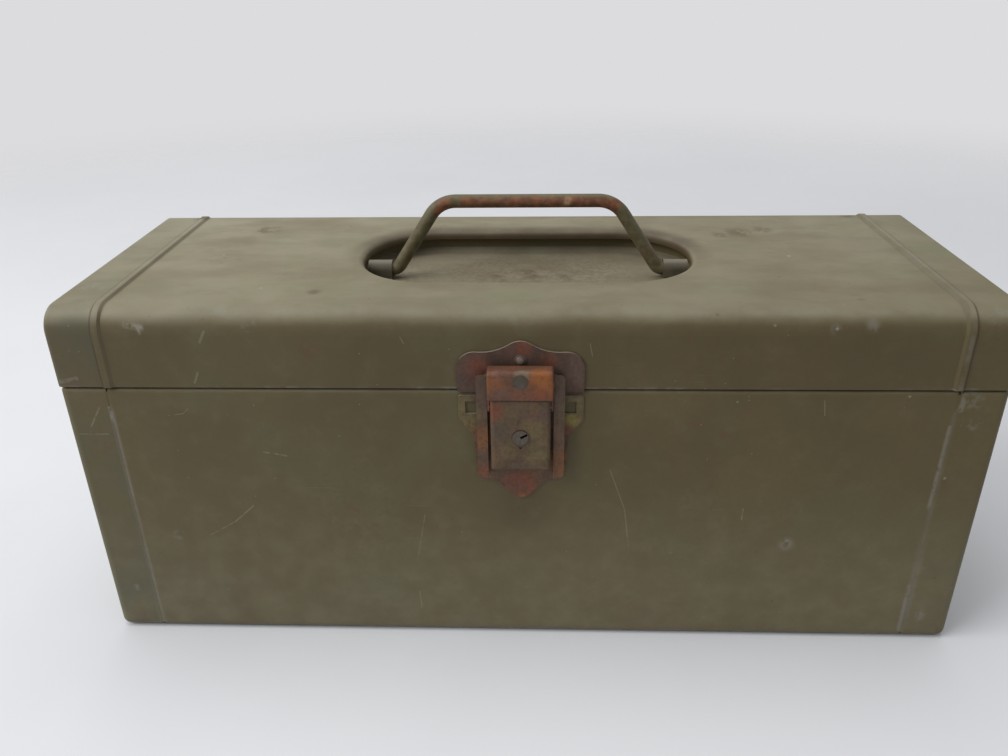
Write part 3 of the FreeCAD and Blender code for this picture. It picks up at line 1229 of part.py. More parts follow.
def pivot_studs(label, pivot, wall, plate_start, head_side):
    """A pair of shouldered studs: collar from the wall, shank through the plate, then a head.

    wall is where the stud stands, plate_start the plate's face towards the middle of the box;
    head_side is -1 where the head is on that face and +1 where it is on the far one.
    """
    body = new_body(label)
    plate_end = f"({plate_start} + arm_gauge)"
    near_face = f"({plate_start} - film)"
    far_face = f"({plate_end} + film)"
    collar_start, head_start = (far_face, near_face) if head_side < 0 else (near_face, far_face)
    pieces = (
        ("collar", "stud_head_radius", collar_start, wall),
        ("shank", "stud_radius", near_face, far_face),
        ("head", "stud_head_radius", head_start, f"({head_start} + {head_side} * stud_head)"),
    )
    features = []
    for name, radius, start, stop in pieces:
        sketch = new_sketch(body, "YZ_Plane", name, start)
        circle(sketch, *pivot, radius)
        length = value(f"{stop} - {start}")
        sign = "" if length > 0 else "-"
        features.append(pad(body, sketch, f"{sign}({stop} - {start})", backwards=length < 0))
    doc.recompute()
    mirrored(body, features)
    return body


for end_name, end_side in (("left", -1), ("right", 1)):
    hanger(f"tray_hanger_{end_name}", end_side)
    arm(f"tray_arm_{end_name}", end_side)

hanger_rivets = new_body("tray_hanger_rivets")
rivet_parts = []
for part_name, part_radius, part_start, part_stop in (
    ("shank", "small_rivet_radius", "(tray_half_width - tray_gauge)", f"({HANGER_X} + arm_gauge)"),
    ("tail", "small_rivet_head_radius", "(tray_half_width - tray_gauge - small_rivet_head)",
     "(tray_half_width - tray_gauge)"),
    ("head", "small_rivet_head_radius", f"({HANGER_X} + arm_gauge)", f"({HANGER_X} + arm_gauge + small_rivet_head)"),
):
    rivet_sketch = new_sketch(hanger_rivets, "YZ_Plane", part_name, part_start)
    for hole_y, hole_z in HANGER_HOLES:
        circle(rivet_sketch, hole_y, hole_z, part_radius)
    rivet_parts.append(pad(hanger_rivets, rivet_sketch, f"{part_stop} - {part_start}"))
doc.recompute()
mirrored(hanger_rivets, rivet_parts)

pivot_studs("lid_pivot_studs", LID_PIVOT, f"({END} - gauge - film)", HANGER_X, -1)
pivot_studs("body_pivot_studs", BODY_PIVOT, f"({END} - gauge - film)", ARM_X, -1)
pivot_studs("tray_pivot_studs", TRAY_PIVOT, "(tray_half_width + film)", ARM_X, 1)

# The whole latch sits a little to the left of the middle
for label in (
    "strike_plate", "strike_rivets", "crown_rivet", "latch_base", "latch_base_rivets", "latch_pivot_pin",
    "lock_keeper", "latch_lever", "latch_claw", "claw_hook", "claw_rivet", "claw_pin", "lock_housing",
    "lock_plug", "lock_cam",
):
    doc.getObject(label).setExpression("Placement.Base.x", bound("latch_shift"))

# Check every object, then write each piece
doc.recompute()
for item in doc.Objects:
    if "Invalid" in item.State or "Error" in item.State:
        raise ValueError(f"{item.Name} is {item.State}")

os.makedirs("parts", exist_ok=True)
for item in doc.Objects:
    if item.TypeId == "PartDesign::Body":
        if item.Shape.isNull() or not item.Shape.isValid() or item.Shape.Volume <= 0:
            raise ValueError(f"{item.Label} has no valid solid")
        item.Shape.exportStep(f"parts/{item.Label}.step")
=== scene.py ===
import math

import bmesh
import bpy
from mathutils import Matrix, Vector


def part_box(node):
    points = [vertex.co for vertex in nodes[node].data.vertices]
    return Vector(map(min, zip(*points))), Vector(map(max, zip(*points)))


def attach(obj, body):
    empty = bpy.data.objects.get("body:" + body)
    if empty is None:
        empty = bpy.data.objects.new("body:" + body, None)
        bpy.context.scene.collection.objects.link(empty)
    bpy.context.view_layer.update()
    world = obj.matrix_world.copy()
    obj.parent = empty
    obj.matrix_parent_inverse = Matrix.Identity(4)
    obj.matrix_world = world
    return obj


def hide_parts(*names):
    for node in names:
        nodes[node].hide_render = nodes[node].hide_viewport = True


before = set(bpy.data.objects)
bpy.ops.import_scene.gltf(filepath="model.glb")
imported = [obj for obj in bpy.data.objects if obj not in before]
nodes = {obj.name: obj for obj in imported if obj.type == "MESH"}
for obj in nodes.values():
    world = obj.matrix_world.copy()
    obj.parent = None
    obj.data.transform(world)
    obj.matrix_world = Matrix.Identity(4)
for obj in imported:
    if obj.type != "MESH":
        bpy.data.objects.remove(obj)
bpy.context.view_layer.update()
scene = bpy.context.scene

# Places on the box, in metres, read from the CAD pieces
FRONT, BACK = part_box("body_wrapper")[0][1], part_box("body_wrapper")[1][1]
SEAM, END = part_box("body_end_right")[0][0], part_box("body_end_right")[1][0]
SKIRT, LID_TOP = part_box("lid_end_right")[0][2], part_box("lid_end_right")[1][2]
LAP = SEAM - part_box("lid_end_right")[0][0]
PAN_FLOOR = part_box("handle_saddle_left")[0][2]
HOOD_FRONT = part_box("latch_claw")[0][1]
CASE_FRONT, CASE_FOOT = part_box("latch_lever")[0][1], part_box("latch_lever")[0][2]
PLUG_LOW, PLUG_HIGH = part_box("lock_plug")
LOCK = Vector(((PLUG_LOW[0] + PLUG_HIGH[0]) / 2, PLUG_LOW[1], (PLUG_LOW[2] + PLUG_HIGH[2]) / 2))
PLUG_RADIUS = (PLUG_HIGH[0] - PLUG_LOW[0]) / 2

# Sizes that are the same as in CAD but that no piece's box gives
RIM_GAP = 0.001
JOGGLE = 0.0014
PLATE = 0.0012
RECESS_CORNER = 0.042
RECESS_SHIFT = 0.0035
RECESS_STRAIGHT_X, RECESS_STRAIGHT_Y = 0.051, 0.0025

SHOULDER = SKIRT - RIM_GAP
HOOD_LIP = SHOULDER + 0.0002
STRIKE_FRONT = FRONT - PLATE


class Finish:
    """A paint, plating or bare metal, mixed from patterns on the piece's own coordinates."""

    def __init__(self, name, roughness=0.6, metallic=0.0, specular=0.4):
        self.material = bpy.data.materials.new(name)
        self.material.use_nodes = True
        self.tree = self.material.node_tree
        self.shader = self.tree.nodes["Principled BSDF"]
        self.shader.inputs["Roughness"].default_value = roughness
        self.shader.inputs["Metallic"].default_value = metallic
        self.shader.inputs["Specular IOR Level"].default_value = specular
        self.where = self.tree.nodes.new("ShaderNodeTexCoord")
        self.place = self.where.outputs["Object"]
        self.x, self.y, self.z = self.parts(self.place)
        self.facing_x, self.facing_y, self.facing_z = self.parts(self.where.outputs["Normal"])

    def parts(self, vector):
        """The x, y and z of a vector."""
        step = self.tree.nodes.new("ShaderNodeSeparateXYZ")
        self.put(step.inputs[0], vector)
        return step.outputs

    def put(self, socket, value):
        """Links another node's output to a socket, or sets the socket to a plain value."""
        if isinstance(value, bpy.types.NodeSocket):
            self.tree.links.new(value, socket)
        else:
            socket.default_value = value

    def maths(self, operation, first, second=0.0, third=0.0, clamp=False):
        step = self.tree.nodes.new("ShaderNodeMath")
        step.operation = operation
        step.use_clamp = clamp
        for socket, value in zip(step.inputs, (first, second, third)):
            self.put(socket, value)
        return step.outputs[0]

    def vector_maths(self, operation, first, second):
        step = self.tree.nodes.new("ShaderNodeVectorMath")
        step.operation = operation
        self.put(step.inputs[0], first)
        self.put(step.inputs["Scale"] if operation == "SCALE" else step.inputs[1], second)
        return step.outputs["Value" if operation in ("DISTANCE", "DOT_PRODUCT") else "Vector"]

    def away(self, value, middle):
        """How far a coordinate is from a place, on either side."""
        return self.maths("ABSOLUTE", self.maths("SUBTRACT", value, middle))

    def past(self, value, limit):
        """How far a coordinate is beyond a limit, and nothing before it."""
        return self.maths("MAXIMUM", self.maths("SUBTRACT", value, limit), 0.0)

    def times(self, *factors):
        """All the values multiplied together."""
        product = factors[0]
        for factor in factors[1:]:
            product = self.maths("MULTIPLY", product, factor)
        return product

    def most(self, *values):
        """The largest of the values."""
        top = values[0]
        for value in values[1:]:
            top = self.maths("MAXIMUM", top, value)
        return top

    def fade(self, value, start, stop, low=0.0, high=1.0):
        """Runs smoothly from low to high while the value goes from start to stop."""
        step = self.tree.nodes.new("ShaderNodeMapRange")
        step.interpolation_type = "SMOOTHSTEP"
        ends = (("From Min", start), ("From Max", stop), ("To Min", low), ("To Max", high))
        for name, amount in ends:
            step.inputs[name].default_value = amount
        self.put(step.inputs["Value"], value)
        return step.outputs["Result"]

    def near(self, value, middle, reach):
        """One at a coordinate, falling to nothing at the reach on both sides."""
        return self.fade(self.away(value, middle), reach, 0.0)

    def spread(self, stretch=(1, 1, 1), turn=(0, 0, 0), shift=(0, 0, 0)):
        """The piece's coordinates, stretched, turned in degrees and shifted."""
        step = self.tree.nodes.new("ShaderNodeMapping")
        step.inputs["Scale"].default_value = stretch
        step.inputs["Rotation"].default_value = [math.radians(angle) for angle in turn]
        step.inputs["Location"].default_value = shift
        self.put(step.inputs["Vector"], self.place)
        return step.outputs[0]

    def cloud(self, scale, detail=3.0, rough=0.5, warp=0.0, vector=None):
        """Soft noise, near 0.5 on average."""
        step = self.tree.nodes.new("ShaderNodeTexNoise")
        step.inputs["Scale"].default_value = scale
        step.inputs["Detail"].default_value = detail
        step.inputs["Roughness"].default_value = rough
        step.inputs["Distortion"].default_value = warp
        self.put(step.inputs["Vector"], vector if vector is not None else self.place)
        return step.outputs["Fac"]

    def specks(self, scale, size, chance=0.5):
        """Small round spots; chance is the share of the cells that have one."""
        step = self.tree.nodes.new("ShaderNodeTexVoronoi")
        step.inputs["Scale"].default_value = scale
        self.put(step.inputs["Vector"], self.place)
        pick = self.tree.nodes.new("ShaderNodeSeparateColor")
        self.put(pick.inputs[0], step.outputs["Color"])
        picked = self.maths("LESS_THAN", pick.outputs[0], chance)
        return self.times(self.fade(step.outputs["Distance"], size, size * 0.3), picked)

    def scratches(self, across, turn, shift, width=0.004, along=6.0):
        """Fine lines along one direction, broken up along their length."""
        lines = self.cloud(1.0, 2.0, 0.5, vector=self.spread((along, across, across), turn, shift))
        gaps = self.fade(self.cloud(11.0, 2.0, vector=self.spread(shift=shift)), 0.58, 0.68)
        return self.times(self.near(lines, 0.5, width), gaps)

    def patch(self, centre, size, ragged=0.5, grain=180.0, soft=0.11):
        """A ragged blot round a point."""
        solid = self.fade(self.vector_maths("DISTANCE", self.place, centre), size, size * 0.2)
        return self.times(solid, self.fade(self.cloud(grain, 3.0, 0.6), ragged - soft, ragged + soft))

    def stroke(self, start, end, width, ragged=0.36, grain=260.0):
        """A thin scrape between two points."""
        start, end = Vector(start), Vector(end)
        run = end - start
        reached = self.vector_maths("SUBTRACT", self.place, start)
        share = self.vector_maths("DOT_PRODUCT", reached, run / run.length_squared)
        foot = self.vector_maths("SCALE", run, self.maths("ADD", share, 0.0, clamp=True))
        solid = self.fade(self.vector_maths("DISTANCE", reached, foot), width, width * 0.3)
        return self.times(solid, self.fade(self.cloud(grain, 2.0), ragged - 0.12, ragged + 0.12))

    def blend(self, amount, under, over):
        """One colour laid over another by an amount from 0 to 1."""
        step = self.tree.nodes.new("ShaderNodeMix")
        step.data_type = "RGBA"
        self.put(step.inputs["Factor"], amount)
        for name, colour in (("A", under), ("B", over)):
            socket = [item for item in step.inputs if item.name == name and item.type == "RGBA"][0]
            self.put(socket, colour if isinstance(colour, bpy.types.NodeSocket) else (*colour, 1.0))
        return [item for item in step.outputs if item.type == "RGBA"][0]

    def colour(self, value):
        self.put(self.shader.inputs["Base Color"], value)

    def rough(self, value):
        self.put(self.shader.inputs["Roughness"], value)

    def metal(self, value):
        self.put(self.shader.inputs["Metallic"], value)

    def relief(self, *heights, strength=0.3, distance=0.0004):
        """Adds up bump heights, each given as (value, weight)."""
        total = 0.0
        for value, weight in heights:
            total = self.maths("MULTIPLY_ADD", value, weight, total)
        bump = self.tree.nodes.new("ShaderNodeBump")
        bump.inputs["Strength"].default_value = strength
        bump.inputs["Distance"].default_value = distance
        self.put(bump.inputs["Height"], total)
        self.put(self.shader.inputs["Normal"], bump.outputs[0])


# Colours of the paint, of what lies on it and of the plain metals; the dust, pale dust, bare metal, dark
# rust and black also serve as painted highlight and painted shade
OLIVE = (0.112, 0.087, 0.037)
OLIVE_DARK = (0.092, 0.069, 0.029)
OLIVE_GREEN = (0.098, 0.090, 0.041)
OLIVE_BROWN = (0.118, 0.079, 0.037)
OLIVE_GREY = (0.084, 0.088, 0.058)
OLIVE_FADED = (0.128, 0.118, 0.066)
DUST_AND_LIGHT = (0.318, 0.292, 0.208)
DUST_PALE_HIGHLIGHT = (0.345, 0.325, 0.255)
DUST_TAN = (0.150, 0.112, 0.058)
DUST_GREEN = (0.185, 0.192, 0.110)
SCUFF = (0.270, 0.262, 0.225)
CHALK = (0.400, 0.385, 0.335)
SCRATCH = (0.262, 0.238, 0.165)
STAIN = (0.108, 0.078, 0.044)
RUST = (0.118, 0.060, 0.032)
RUST_RED = (0.180, 0.052, 0.028)
RUST_DARK_AND_SHADE = (0.050, 0.030, 0.019)
RUST_ORANGE = (0.260, 0.088, 0.022)
RUST_DEEP = (0.105, 0.046, 0.022)
RUST_LIGHT = (0.215, 0.084, 0.036)
NICK_TAN = (0.450, 0.300, 0.170)
BARE_AND_HIGHLIGHT = (0.230, 0.212, 0.180)
HINGE_GREY = (0.150, 0.135, 0.105)
ZINC_GREY = (0.330, 0.320, 0.300)
SADDLE_DARK = (0.070, 0.060, 0.038)
SADDLE_PALE = (0.096, 0.076, 0.050)
BLACK = (0.010, 0.008, 0.007)

# The lists of marks that a painted piece may have, each with its colour and strength
MARK_KINDS = (
    ("stains", STAIN, 0.70), ("rust", RUST, 0.38), ("smudges", SCUFF, 0.34),
    ("scrapes", SCRATCH, 0.42), ("blots", CHALK, 0.42),
)


def mottled_olive(coat, broad, fine, dirt):
    """The paint itself, drifting to dark, green and brown, with grit and runs of dirt."""
    hue = coat.cloud(13.0, 3.0, 0.55, vector=coat.spread(shift=(4.2, 1.3, 2.6)))
    grit = coat.cloud(330.0, 3.0, 0.6)
    runs = coat.cloud(1.0, 3.0, 0.55, vector=coat.spread((48.0, 48.0, 7.0)))
    colour = coat.blend(coat.fade(broad, 0.34, 0.68), OLIVE_DARK, OLIVE)
    colour = coat.blend(coat.fade(hue, 0.52, 0.74, 0.0, 0.65), colour, OLIVE_GREEN)
    colour = coat.blend(coat.fade(hue, 0.48, 0.28, 0.0, 0.55), colour, OLIVE_BROWN)
    colour = coat.blend(coat.fade(fine, 0.45, 0.75, 0.0, 0.07), colour, DUST_AND_LIGHT)
    colour = coat.blend(coat.fade(grit, 0.40, 0.62, 0.0, 0.22), colour, OLIVE_DARK)
    return coat.blend(coat.fade(runs, 0.5, 0.72, 0.0, 0.20 * dirt), colour, OLIVE_DARK)


def dust_film_and_light(coat, colour, fine, leftward):
    """A thin film of dust, paler low on the walls and towards the left, where it also paints in light
    bounced up from the table and falling from the left; and the greyer left ends.
    """
    # Painted light: the dust colour is laid paler low on the walls and to the left, standing in for light
    # from the table and from the left
    film_and_light = coat.maths("MULTIPLY_ADD", leftward, 0.05, coat.fade(coat.z, 0.125, 0.004, 0.0, 0.20))
    colour = coat.blend(coat.times(film_and_light, coat.fade(fine, 0.25, 0.65, 0.6, 1.0)), colour, DUST_AND_LIGHT)
    left_end = coat.fade(coat.x, -SEAM + 0.0004, -SEAM - 0.0004)
    patchy = coat.fade(coat.cloud(24.0, 3.0, 0.6), 0.34, 0.60, 0.10, 0.52)
    return coat.blend(coat.times(left_end, patchy), colour, OLIVE_GREY)


def settled_dust_and_light(coat, colour, leftward, dusty, dirt):
    """Dust on what faces up, stained, laid thicker to the left and the back, where it also paints in the
    light falling from there, and palest on the brow, part rubbed dust and part painted highlight.
    """
    ragged = coat.maths("MULTIPLY_ADD", coat.cloud(42.0, 4.0, 0.6), 0.34, -0.17)
    upward = coat.fade(coat.maths("ADD", coat.facing_z, ragged), 0.32, 0.80)
    # Painted light: more dust towards the left and the back also stands in for the light from those sides
    thick_and_lit = coat.times(
        coat.maths("MULTIPLY_ADD", leftward, 0.30, 0.72), coat.fade(coat.y, -0.084, 0.084, 0.86, 1.22),
    )
    uneven = coat.fade(coat.cloud(11.0, 5.0, 0.6), 0.2, 0.7, 0.66, 1.0)
    swept = coat.cloud(1.0, 5.0, 0.62, vector=coat.spread((21.0, 46.0, 46.0)))
    settled = coat.times(upward, uneven, coat.fade(swept, 0.34, 0.64, 0.70, 1.06), thick_and_lit, dusty)
    colour = coat.blend(settled, colour, DUST_AND_LIGHT)
    stain = coat.fade(coat.cloud(18.0, 5.0, 0.65, 0.5), 0.56, 0.74, 0.0, 0.30 * dirt)
    colour = coat.blend(coat.times(upward, stain), colour, DUST_TAN)
    green = coat.cloud(24.0, 4.0, 0.6, vector=coat.spread(shift=(2, 7, 1)))
    green = coat.times(upward, coat.fade(green, 0.48, 0.70, 0.0, 0.40))
    colour = coat.blend(green, colour, DUST_GREEN)
    # Painted highlight: the pale band where the top turns to the front is part rubbed dust, part highlight
    brow = coat.times(
        coat.near(coat.facing_z, 0.80, 0.22),
        coat.fade(coat.cloud(26.0, 4.0, 0.6), 0.42, 0.62, 0.0, 0.22), dusty,
    )
    return coat.blend(brow, colour, DUST_PALE_HIGHLIGHT), settled


def marked(coat, colour, marks):
    """The blots and strokes of one piece, each kind in its own colour."""
    for kind, tint, strength in MARK_KINDS:
        shapes = [
            coat.stroke(*mark) if isinstance(mark[1], tuple) else coat.patch(*mark)
            for mark in marks.get(kind, [])
        ]
        if shapes:
            colour = coat.blend(coat.times(coat.most(*shapes), strength), colour, tint)
    return colour


def olive_paint(name, dusty, marks, wear_and_highlight=None, grime_and_shade=None, dirt=1.0):
    """Old olive-drab paint: mottled, dusty, scratched, rubbed at its edges and freckled with rust."""
    coat = Finish(name, specular=0.26)
    broad = coat.cloud(7.0, 4.0, 0.55)
    fine = coat.cloud(70.0, 4.0, 0.6)
    grain = coat.cloud(900.0, 2.0, 0.5)
    leftward = coat.fade(coat.x, 0.25, -0.25)
    colour = mottled_olive(coat, broad, fine, dirt)
    colour = dust_film_and_light(coat, colour, fine, leftward)
    colour, settled = settled_dust_and_light(coat, colour, leftward, dusty, dirt)
    freckles = coat.most(coat.specks(150.0, 0.18, 0.03), coat.specks(380.0, 0.24, 0.04))
    colour = coat.blend(coat.times(freckles, 0.40 * dirt), colour, RUST)
    colour = coat.blend(coat.times(coat.specks(400.0, 0.17, 0.014), 0.40), colour, CHALK)
    lines = coat.most(
        coat.scratches(520.0, (0, 38, 0), (3.1, 0.4, 1.2)),
        coat.scratches(460.0, (0, -64, 20), (1.7, 2.2, 5.3)),
        coat.scratches(600.0, (0, 12, 62), (7.9, 1.1, 0.6)),
    )
    colour = coat.blend(coat.times(lines, 0.16), colour, SCUFF)
    colour = marked(coat, colour, marks)
    # The lid's rubbed edges also carry a painted highlight, and the darkening of the lid and the pan is
    # painted shade
    if wear_and_highlight:
        colour = coat.blend(wear_and_highlight(coat), colour, BARE_AND_HIGHLIGHT)
    if grime_and_shade:
        colour = coat.blend(grime_and_shade(coat), colour, RUST_DARK_AND_SHADE)
    coat.colour(colour)
    dull = coat.fade(fine, 0.3, 0.7, 0.52, 0.66)
    coat.rough(coat.maths("MULTIPLY_ADD", settled, 0.25, dull, clamp=True))
    coat.relief((grain, 0.22), (fine, 0.4), (lines, -0.6), (freckles, 0.6), (broad, 1.2))
    return coat.material


def rubbed(coat, ragged_at=0.5, scale=150.0):
    """Where an edge has been rubbed: strong in places, missing in others."""
    return coat.times(
        coat.fade(coat.cloud(scale, 4.0, 0.65), ragged_at - 0.12, ragged_at + 0.16),
        coat.fade(coat.cloud(14.0, 3.0), 0.34, 0.6),
    )


def body_wear(coat):
    """Pale lines along the lapped seams, the shoulder, the corners and the floor of the body."""
    side = coat.maths("ABSOLUTE", coat.x)
    groove = SEAM - JOGGLE / 2
    seam = coat.times(
        coat.near(side, groove, 0.0021), coat.fade(coat.cloud(90.0, 4.0, 0.65), 0.30, 0.60, 0.45, 1.0),
        coat.fade(coat.z, SHOULDER - 0.008, SHOULDER - 0.014), coat.fade(coat.x, 0.05, -0.05, 0.50, 0.95),
    )
    beside_seam = coat.times(
        coat.near(side, groove, 0.0038), rubbed(coat, 0.40), coat.fade(coat.z, 0.110, 0.020), 0.8,
    )
    shoulder = coat.times(coat.near(coat.z, SHOULDER - 0.0004, 0.0012), rubbed(coat, 0.56), 0.6)
    corner = coat.times(coat.near(side, END - 0.0010, 0.0020), rubbed(coat, 0.58))
    floor = coat.times(coat.near(coat.z, 0.0015, 0.0035), rubbed(coat, 0.52, 90.0))
    return coat.times(coat.most(seam, beside_seam, shoulder, corner, floor), 0.5)


def body_grime(coat):
    """Dirt on the front round the foot of the latch."""
    return coat.times(coat.patch((LOCK.x, FRONT, 0.090), 0.024, 0.44, 60.0), 0.28)


def lid_wear_and_highlight(coat):
    """Rubbed laps, skirt and brow of the lid, and a painted highlight on the left lap's step."""
    side = coat.maths("ABSOLUTE", coat.x)
    lap = coat.times(coat.near(side, SEAM - 0.0018, 0.0022), rubbed(coat, 0.46), 0.7)
    skirt = coat.times(coat.near(coat.z, SKIRT + 0.0004, 0.0012), rubbed(coat, 0.54))
    brow = coat.times(
        coat.near(coat.z, LID_TOP - 0.0022, 0.0024), coat.near(coat.y, FRONT + 0.006, 0.006),
        rubbed(coat, 0.55, 90.0), 0.7,
    )
    left_step = LAP + JOGGLE / 2 - SEAM
    # Painted highlight: the left lap's step on the front is lightened to even out its shading
    lit = coat.times(coat.near(coat.x, left_step, 0.0011), coat.fade(coat.facing_y, -0.55, -0.95), 0.42)
    return coat.times(coat.most(lap, skirt, brow, lit), 0.5)


def lid_painted_shade(coat):
    """Painted shade: a thin dark line as the shadow at the edge of each lap, a softer one at its step, a
    band round the back of the recess, and a darker front face.
    """
    side = coat.maths("ABSOLUTE", coat.x)
    front = coat.fade(coat.facing_y, -0.55, -0.95)
    # Painted shadow: the thin dark line at the edge of each lap
    edge = coat.times(
        coat.near(side, SEAM + 0.0003, 0.0011), coat.fade(coat.cloud(120.0, 3.0), 0.3, 0.5, 0.55, 0.90),
    )
    # Painted shade at each lap's step, weaker on the front
    step = coat.times(
        coat.near(side, SEAM - LAP - JOGGLE * 0.6, 0.0024), coat.maths("MULTIPLY_ADD", front, -0.34, 0.34),
    )
    # Painted shade in a band round the back of the recess
    across = coat.past(side, RECESS_STRAIGHT_X)
    behind = coat.past(coat.away(coat.y, RECESS_SHIFT), RECESS_STRAIGHT_Y)
    out = coat.maths("SQRT", coat.maths("ADD", coat.times(across, across), coat.times(behind, behind)))
    rim = coat.times(
        coat.fade(out, RECESS_CORNER + 0.0150, RECESS_CORNER + 0.0030),
        coat.fade(coat.y, -0.010, 0.036, 0.12, 0.62),
        coat.fade(coat.cloud(50.0, 4.0, 0.6), 0.25, 0.6, 0.7, 1.0),
    )
    # Painted shade: the whole front face is darkened a little
    return coat.most(edge, step, rim, coat.times(front, 0.13))


def pan_painted_shade(coat):
    """Painted shade: the lip's shadow over the back of the pan's floor, and shade at the foot of its wall.
    """
    # Painted shadow of the lip over the back of the floor, and painted shade at the foot of the wall
    back = coat.fade(coat.y, 0.004, 0.046, 0.0, 0.50)
    foot = coat.times(
        coat.near(coat.z, PAN_FLOOR + 0.0018, 0.0030), coat.fade(coat.facing_z, 0.97, 0.85), 0.50,
    )
    uneven = coat.fade(coat.cloud(60.0, 4.0, 0.6), 0.25, 0.6, 0.8, 1.0)
    return coat.times(coat.most(back, foot), coat.fade(coat.facing_z, 0.10, 0.40), uneven)


# Each patch is (centre, size, raggedness, grain) and each stroke (start, end, width, raggedness),
# in metres on the piece; the grain may be left out, and so may a stroke's raggedness
BODY_MARKS = {
    "smudges": [
        ((0.2235, FRONT, 0.1548), 0.0070, 0.50), ((-0.2264, FRONT, 0.0300), 0.0035, 0.42),
        ((0.1425, FRONT, 0.0660), 0.0060, 0.44), ((-0.1949, FRONT, 0.0680), 0.0050, 0.54),
        ((0.2230, FRONT, 0.0180), 0.0070, 0.56), ((0.2265, FRONT, 0.1420), 0.0055, 0.56),
        ((0.2148, FRONT, 0.1400), (0.2142, FRONT, 0.0900), 0.0015, 0.38),
        ((0.2140, FRONT, 0.0380), (0.2139, FRONT, 0.0060), 0.0015, 0.42),
        ((0.2187, FRONT, 0.1580), (0.2180, FRONT, 0.1500), 0.0022, 0.44),
    ],
    "blots": [
        ((0.1428, FRONT, 0.0668), 0.0028, 0.44), ((0.1916, FRONT, 0.1574), 0.0010, 0.34),
        ((0.1070, FRONT, 0.1540), 0.0008, 0.36), ((0.2186, FRONT, 0.1095), 0.0013, 0.46),
        ((-0.2167, FRONT, 0.1489), (-0.2164, FRONT, 0.1400), 0.0010, 0.40),
    ],
    "scrapes": [
        ((-0.1766, FRONT, 0.0682), (-0.1608, FRONT, 0.0777), 0.00036, 0.40),
        ((-0.1608, FRONT, 0.0777), (-0.1494, FRONT, 0.0882), 0.00058, 0.36),
        ((-0.2287, FRONT, 0.1378), (-0.2219, FRONT, 0.1489), 0.00058, 0.40),
        ((-0.2370, FRONT, 0.1331), (-0.2240, FRONT, 0.1331), 0.00036, 0.44),
        ((-0.2240, FRONT, 0.1331), (-0.2206, FRONT, 0.1332), 0.0005, 0.30),
        ((-0.1861, FRONT, 0.1445), (-0.1782, FRONT, 0.1457), 0.00036, 0.42),
        ((-0.1782, FRONT, 0.1457), (-0.1751, FRONT, 0.1486), 0.00036, 0.42),
        ((-0.1391, FRONT, 0.1227), (-0.1270, FRONT, 0.1205), 0.00065, 0.42),
        ((-0.0551, FRONT, 0.0830), (-0.0608, FRONT, 0.0520), 0.00036, 0.46),
        ((-0.0610, FRONT, 0.0300), (-0.0604, FRONT, 0.0180), 0.00043, 0.36),
        ((0.0447, FRONT, 0.1130), (0.0535, FRONT, 0.0880), 0.00036, 0.46),
        ((0.0535, FRONT, 0.0880), (0.0567, FRONT, 0.0641), 0.00043, 0.42),
        ((0.1502, FRONT, 0.1548), (0.1515, FRONT, 0.1464), 0.00036, 0.32),
        ((0.1168, FRONT, 0.0890), (0.1166, FRONT, 0.0820), 0.00058, 0.44),
        ((END, -0.030, 0.100), (END, 0.020, 0.118), 0.00043),
        ((-END, 0.010, 0.070), (-END, -0.040, 0.092), 0.00043),
        ((-0.080, BACK, 0.090), (-0.020, BACK, 0.072), 0.00043),
    ],
    "rust": [
        ((-0.2243, FRONT, 0.1290), 0.012, 0.52), ((0.2186, FRONT, 0.1080), 0.010, 0.54),
        ((-0.2300, FRONT, 0.0060), 0.012, 0.54), ((0.2340, FRONT, 0.0050), 0.012, 0.54),
        ((0.0900, FRONT, 0.1250), 0.060, 0.58), ((-0.0900, FRONT, 0.0900), 0.050, 0.60),
    ],
}
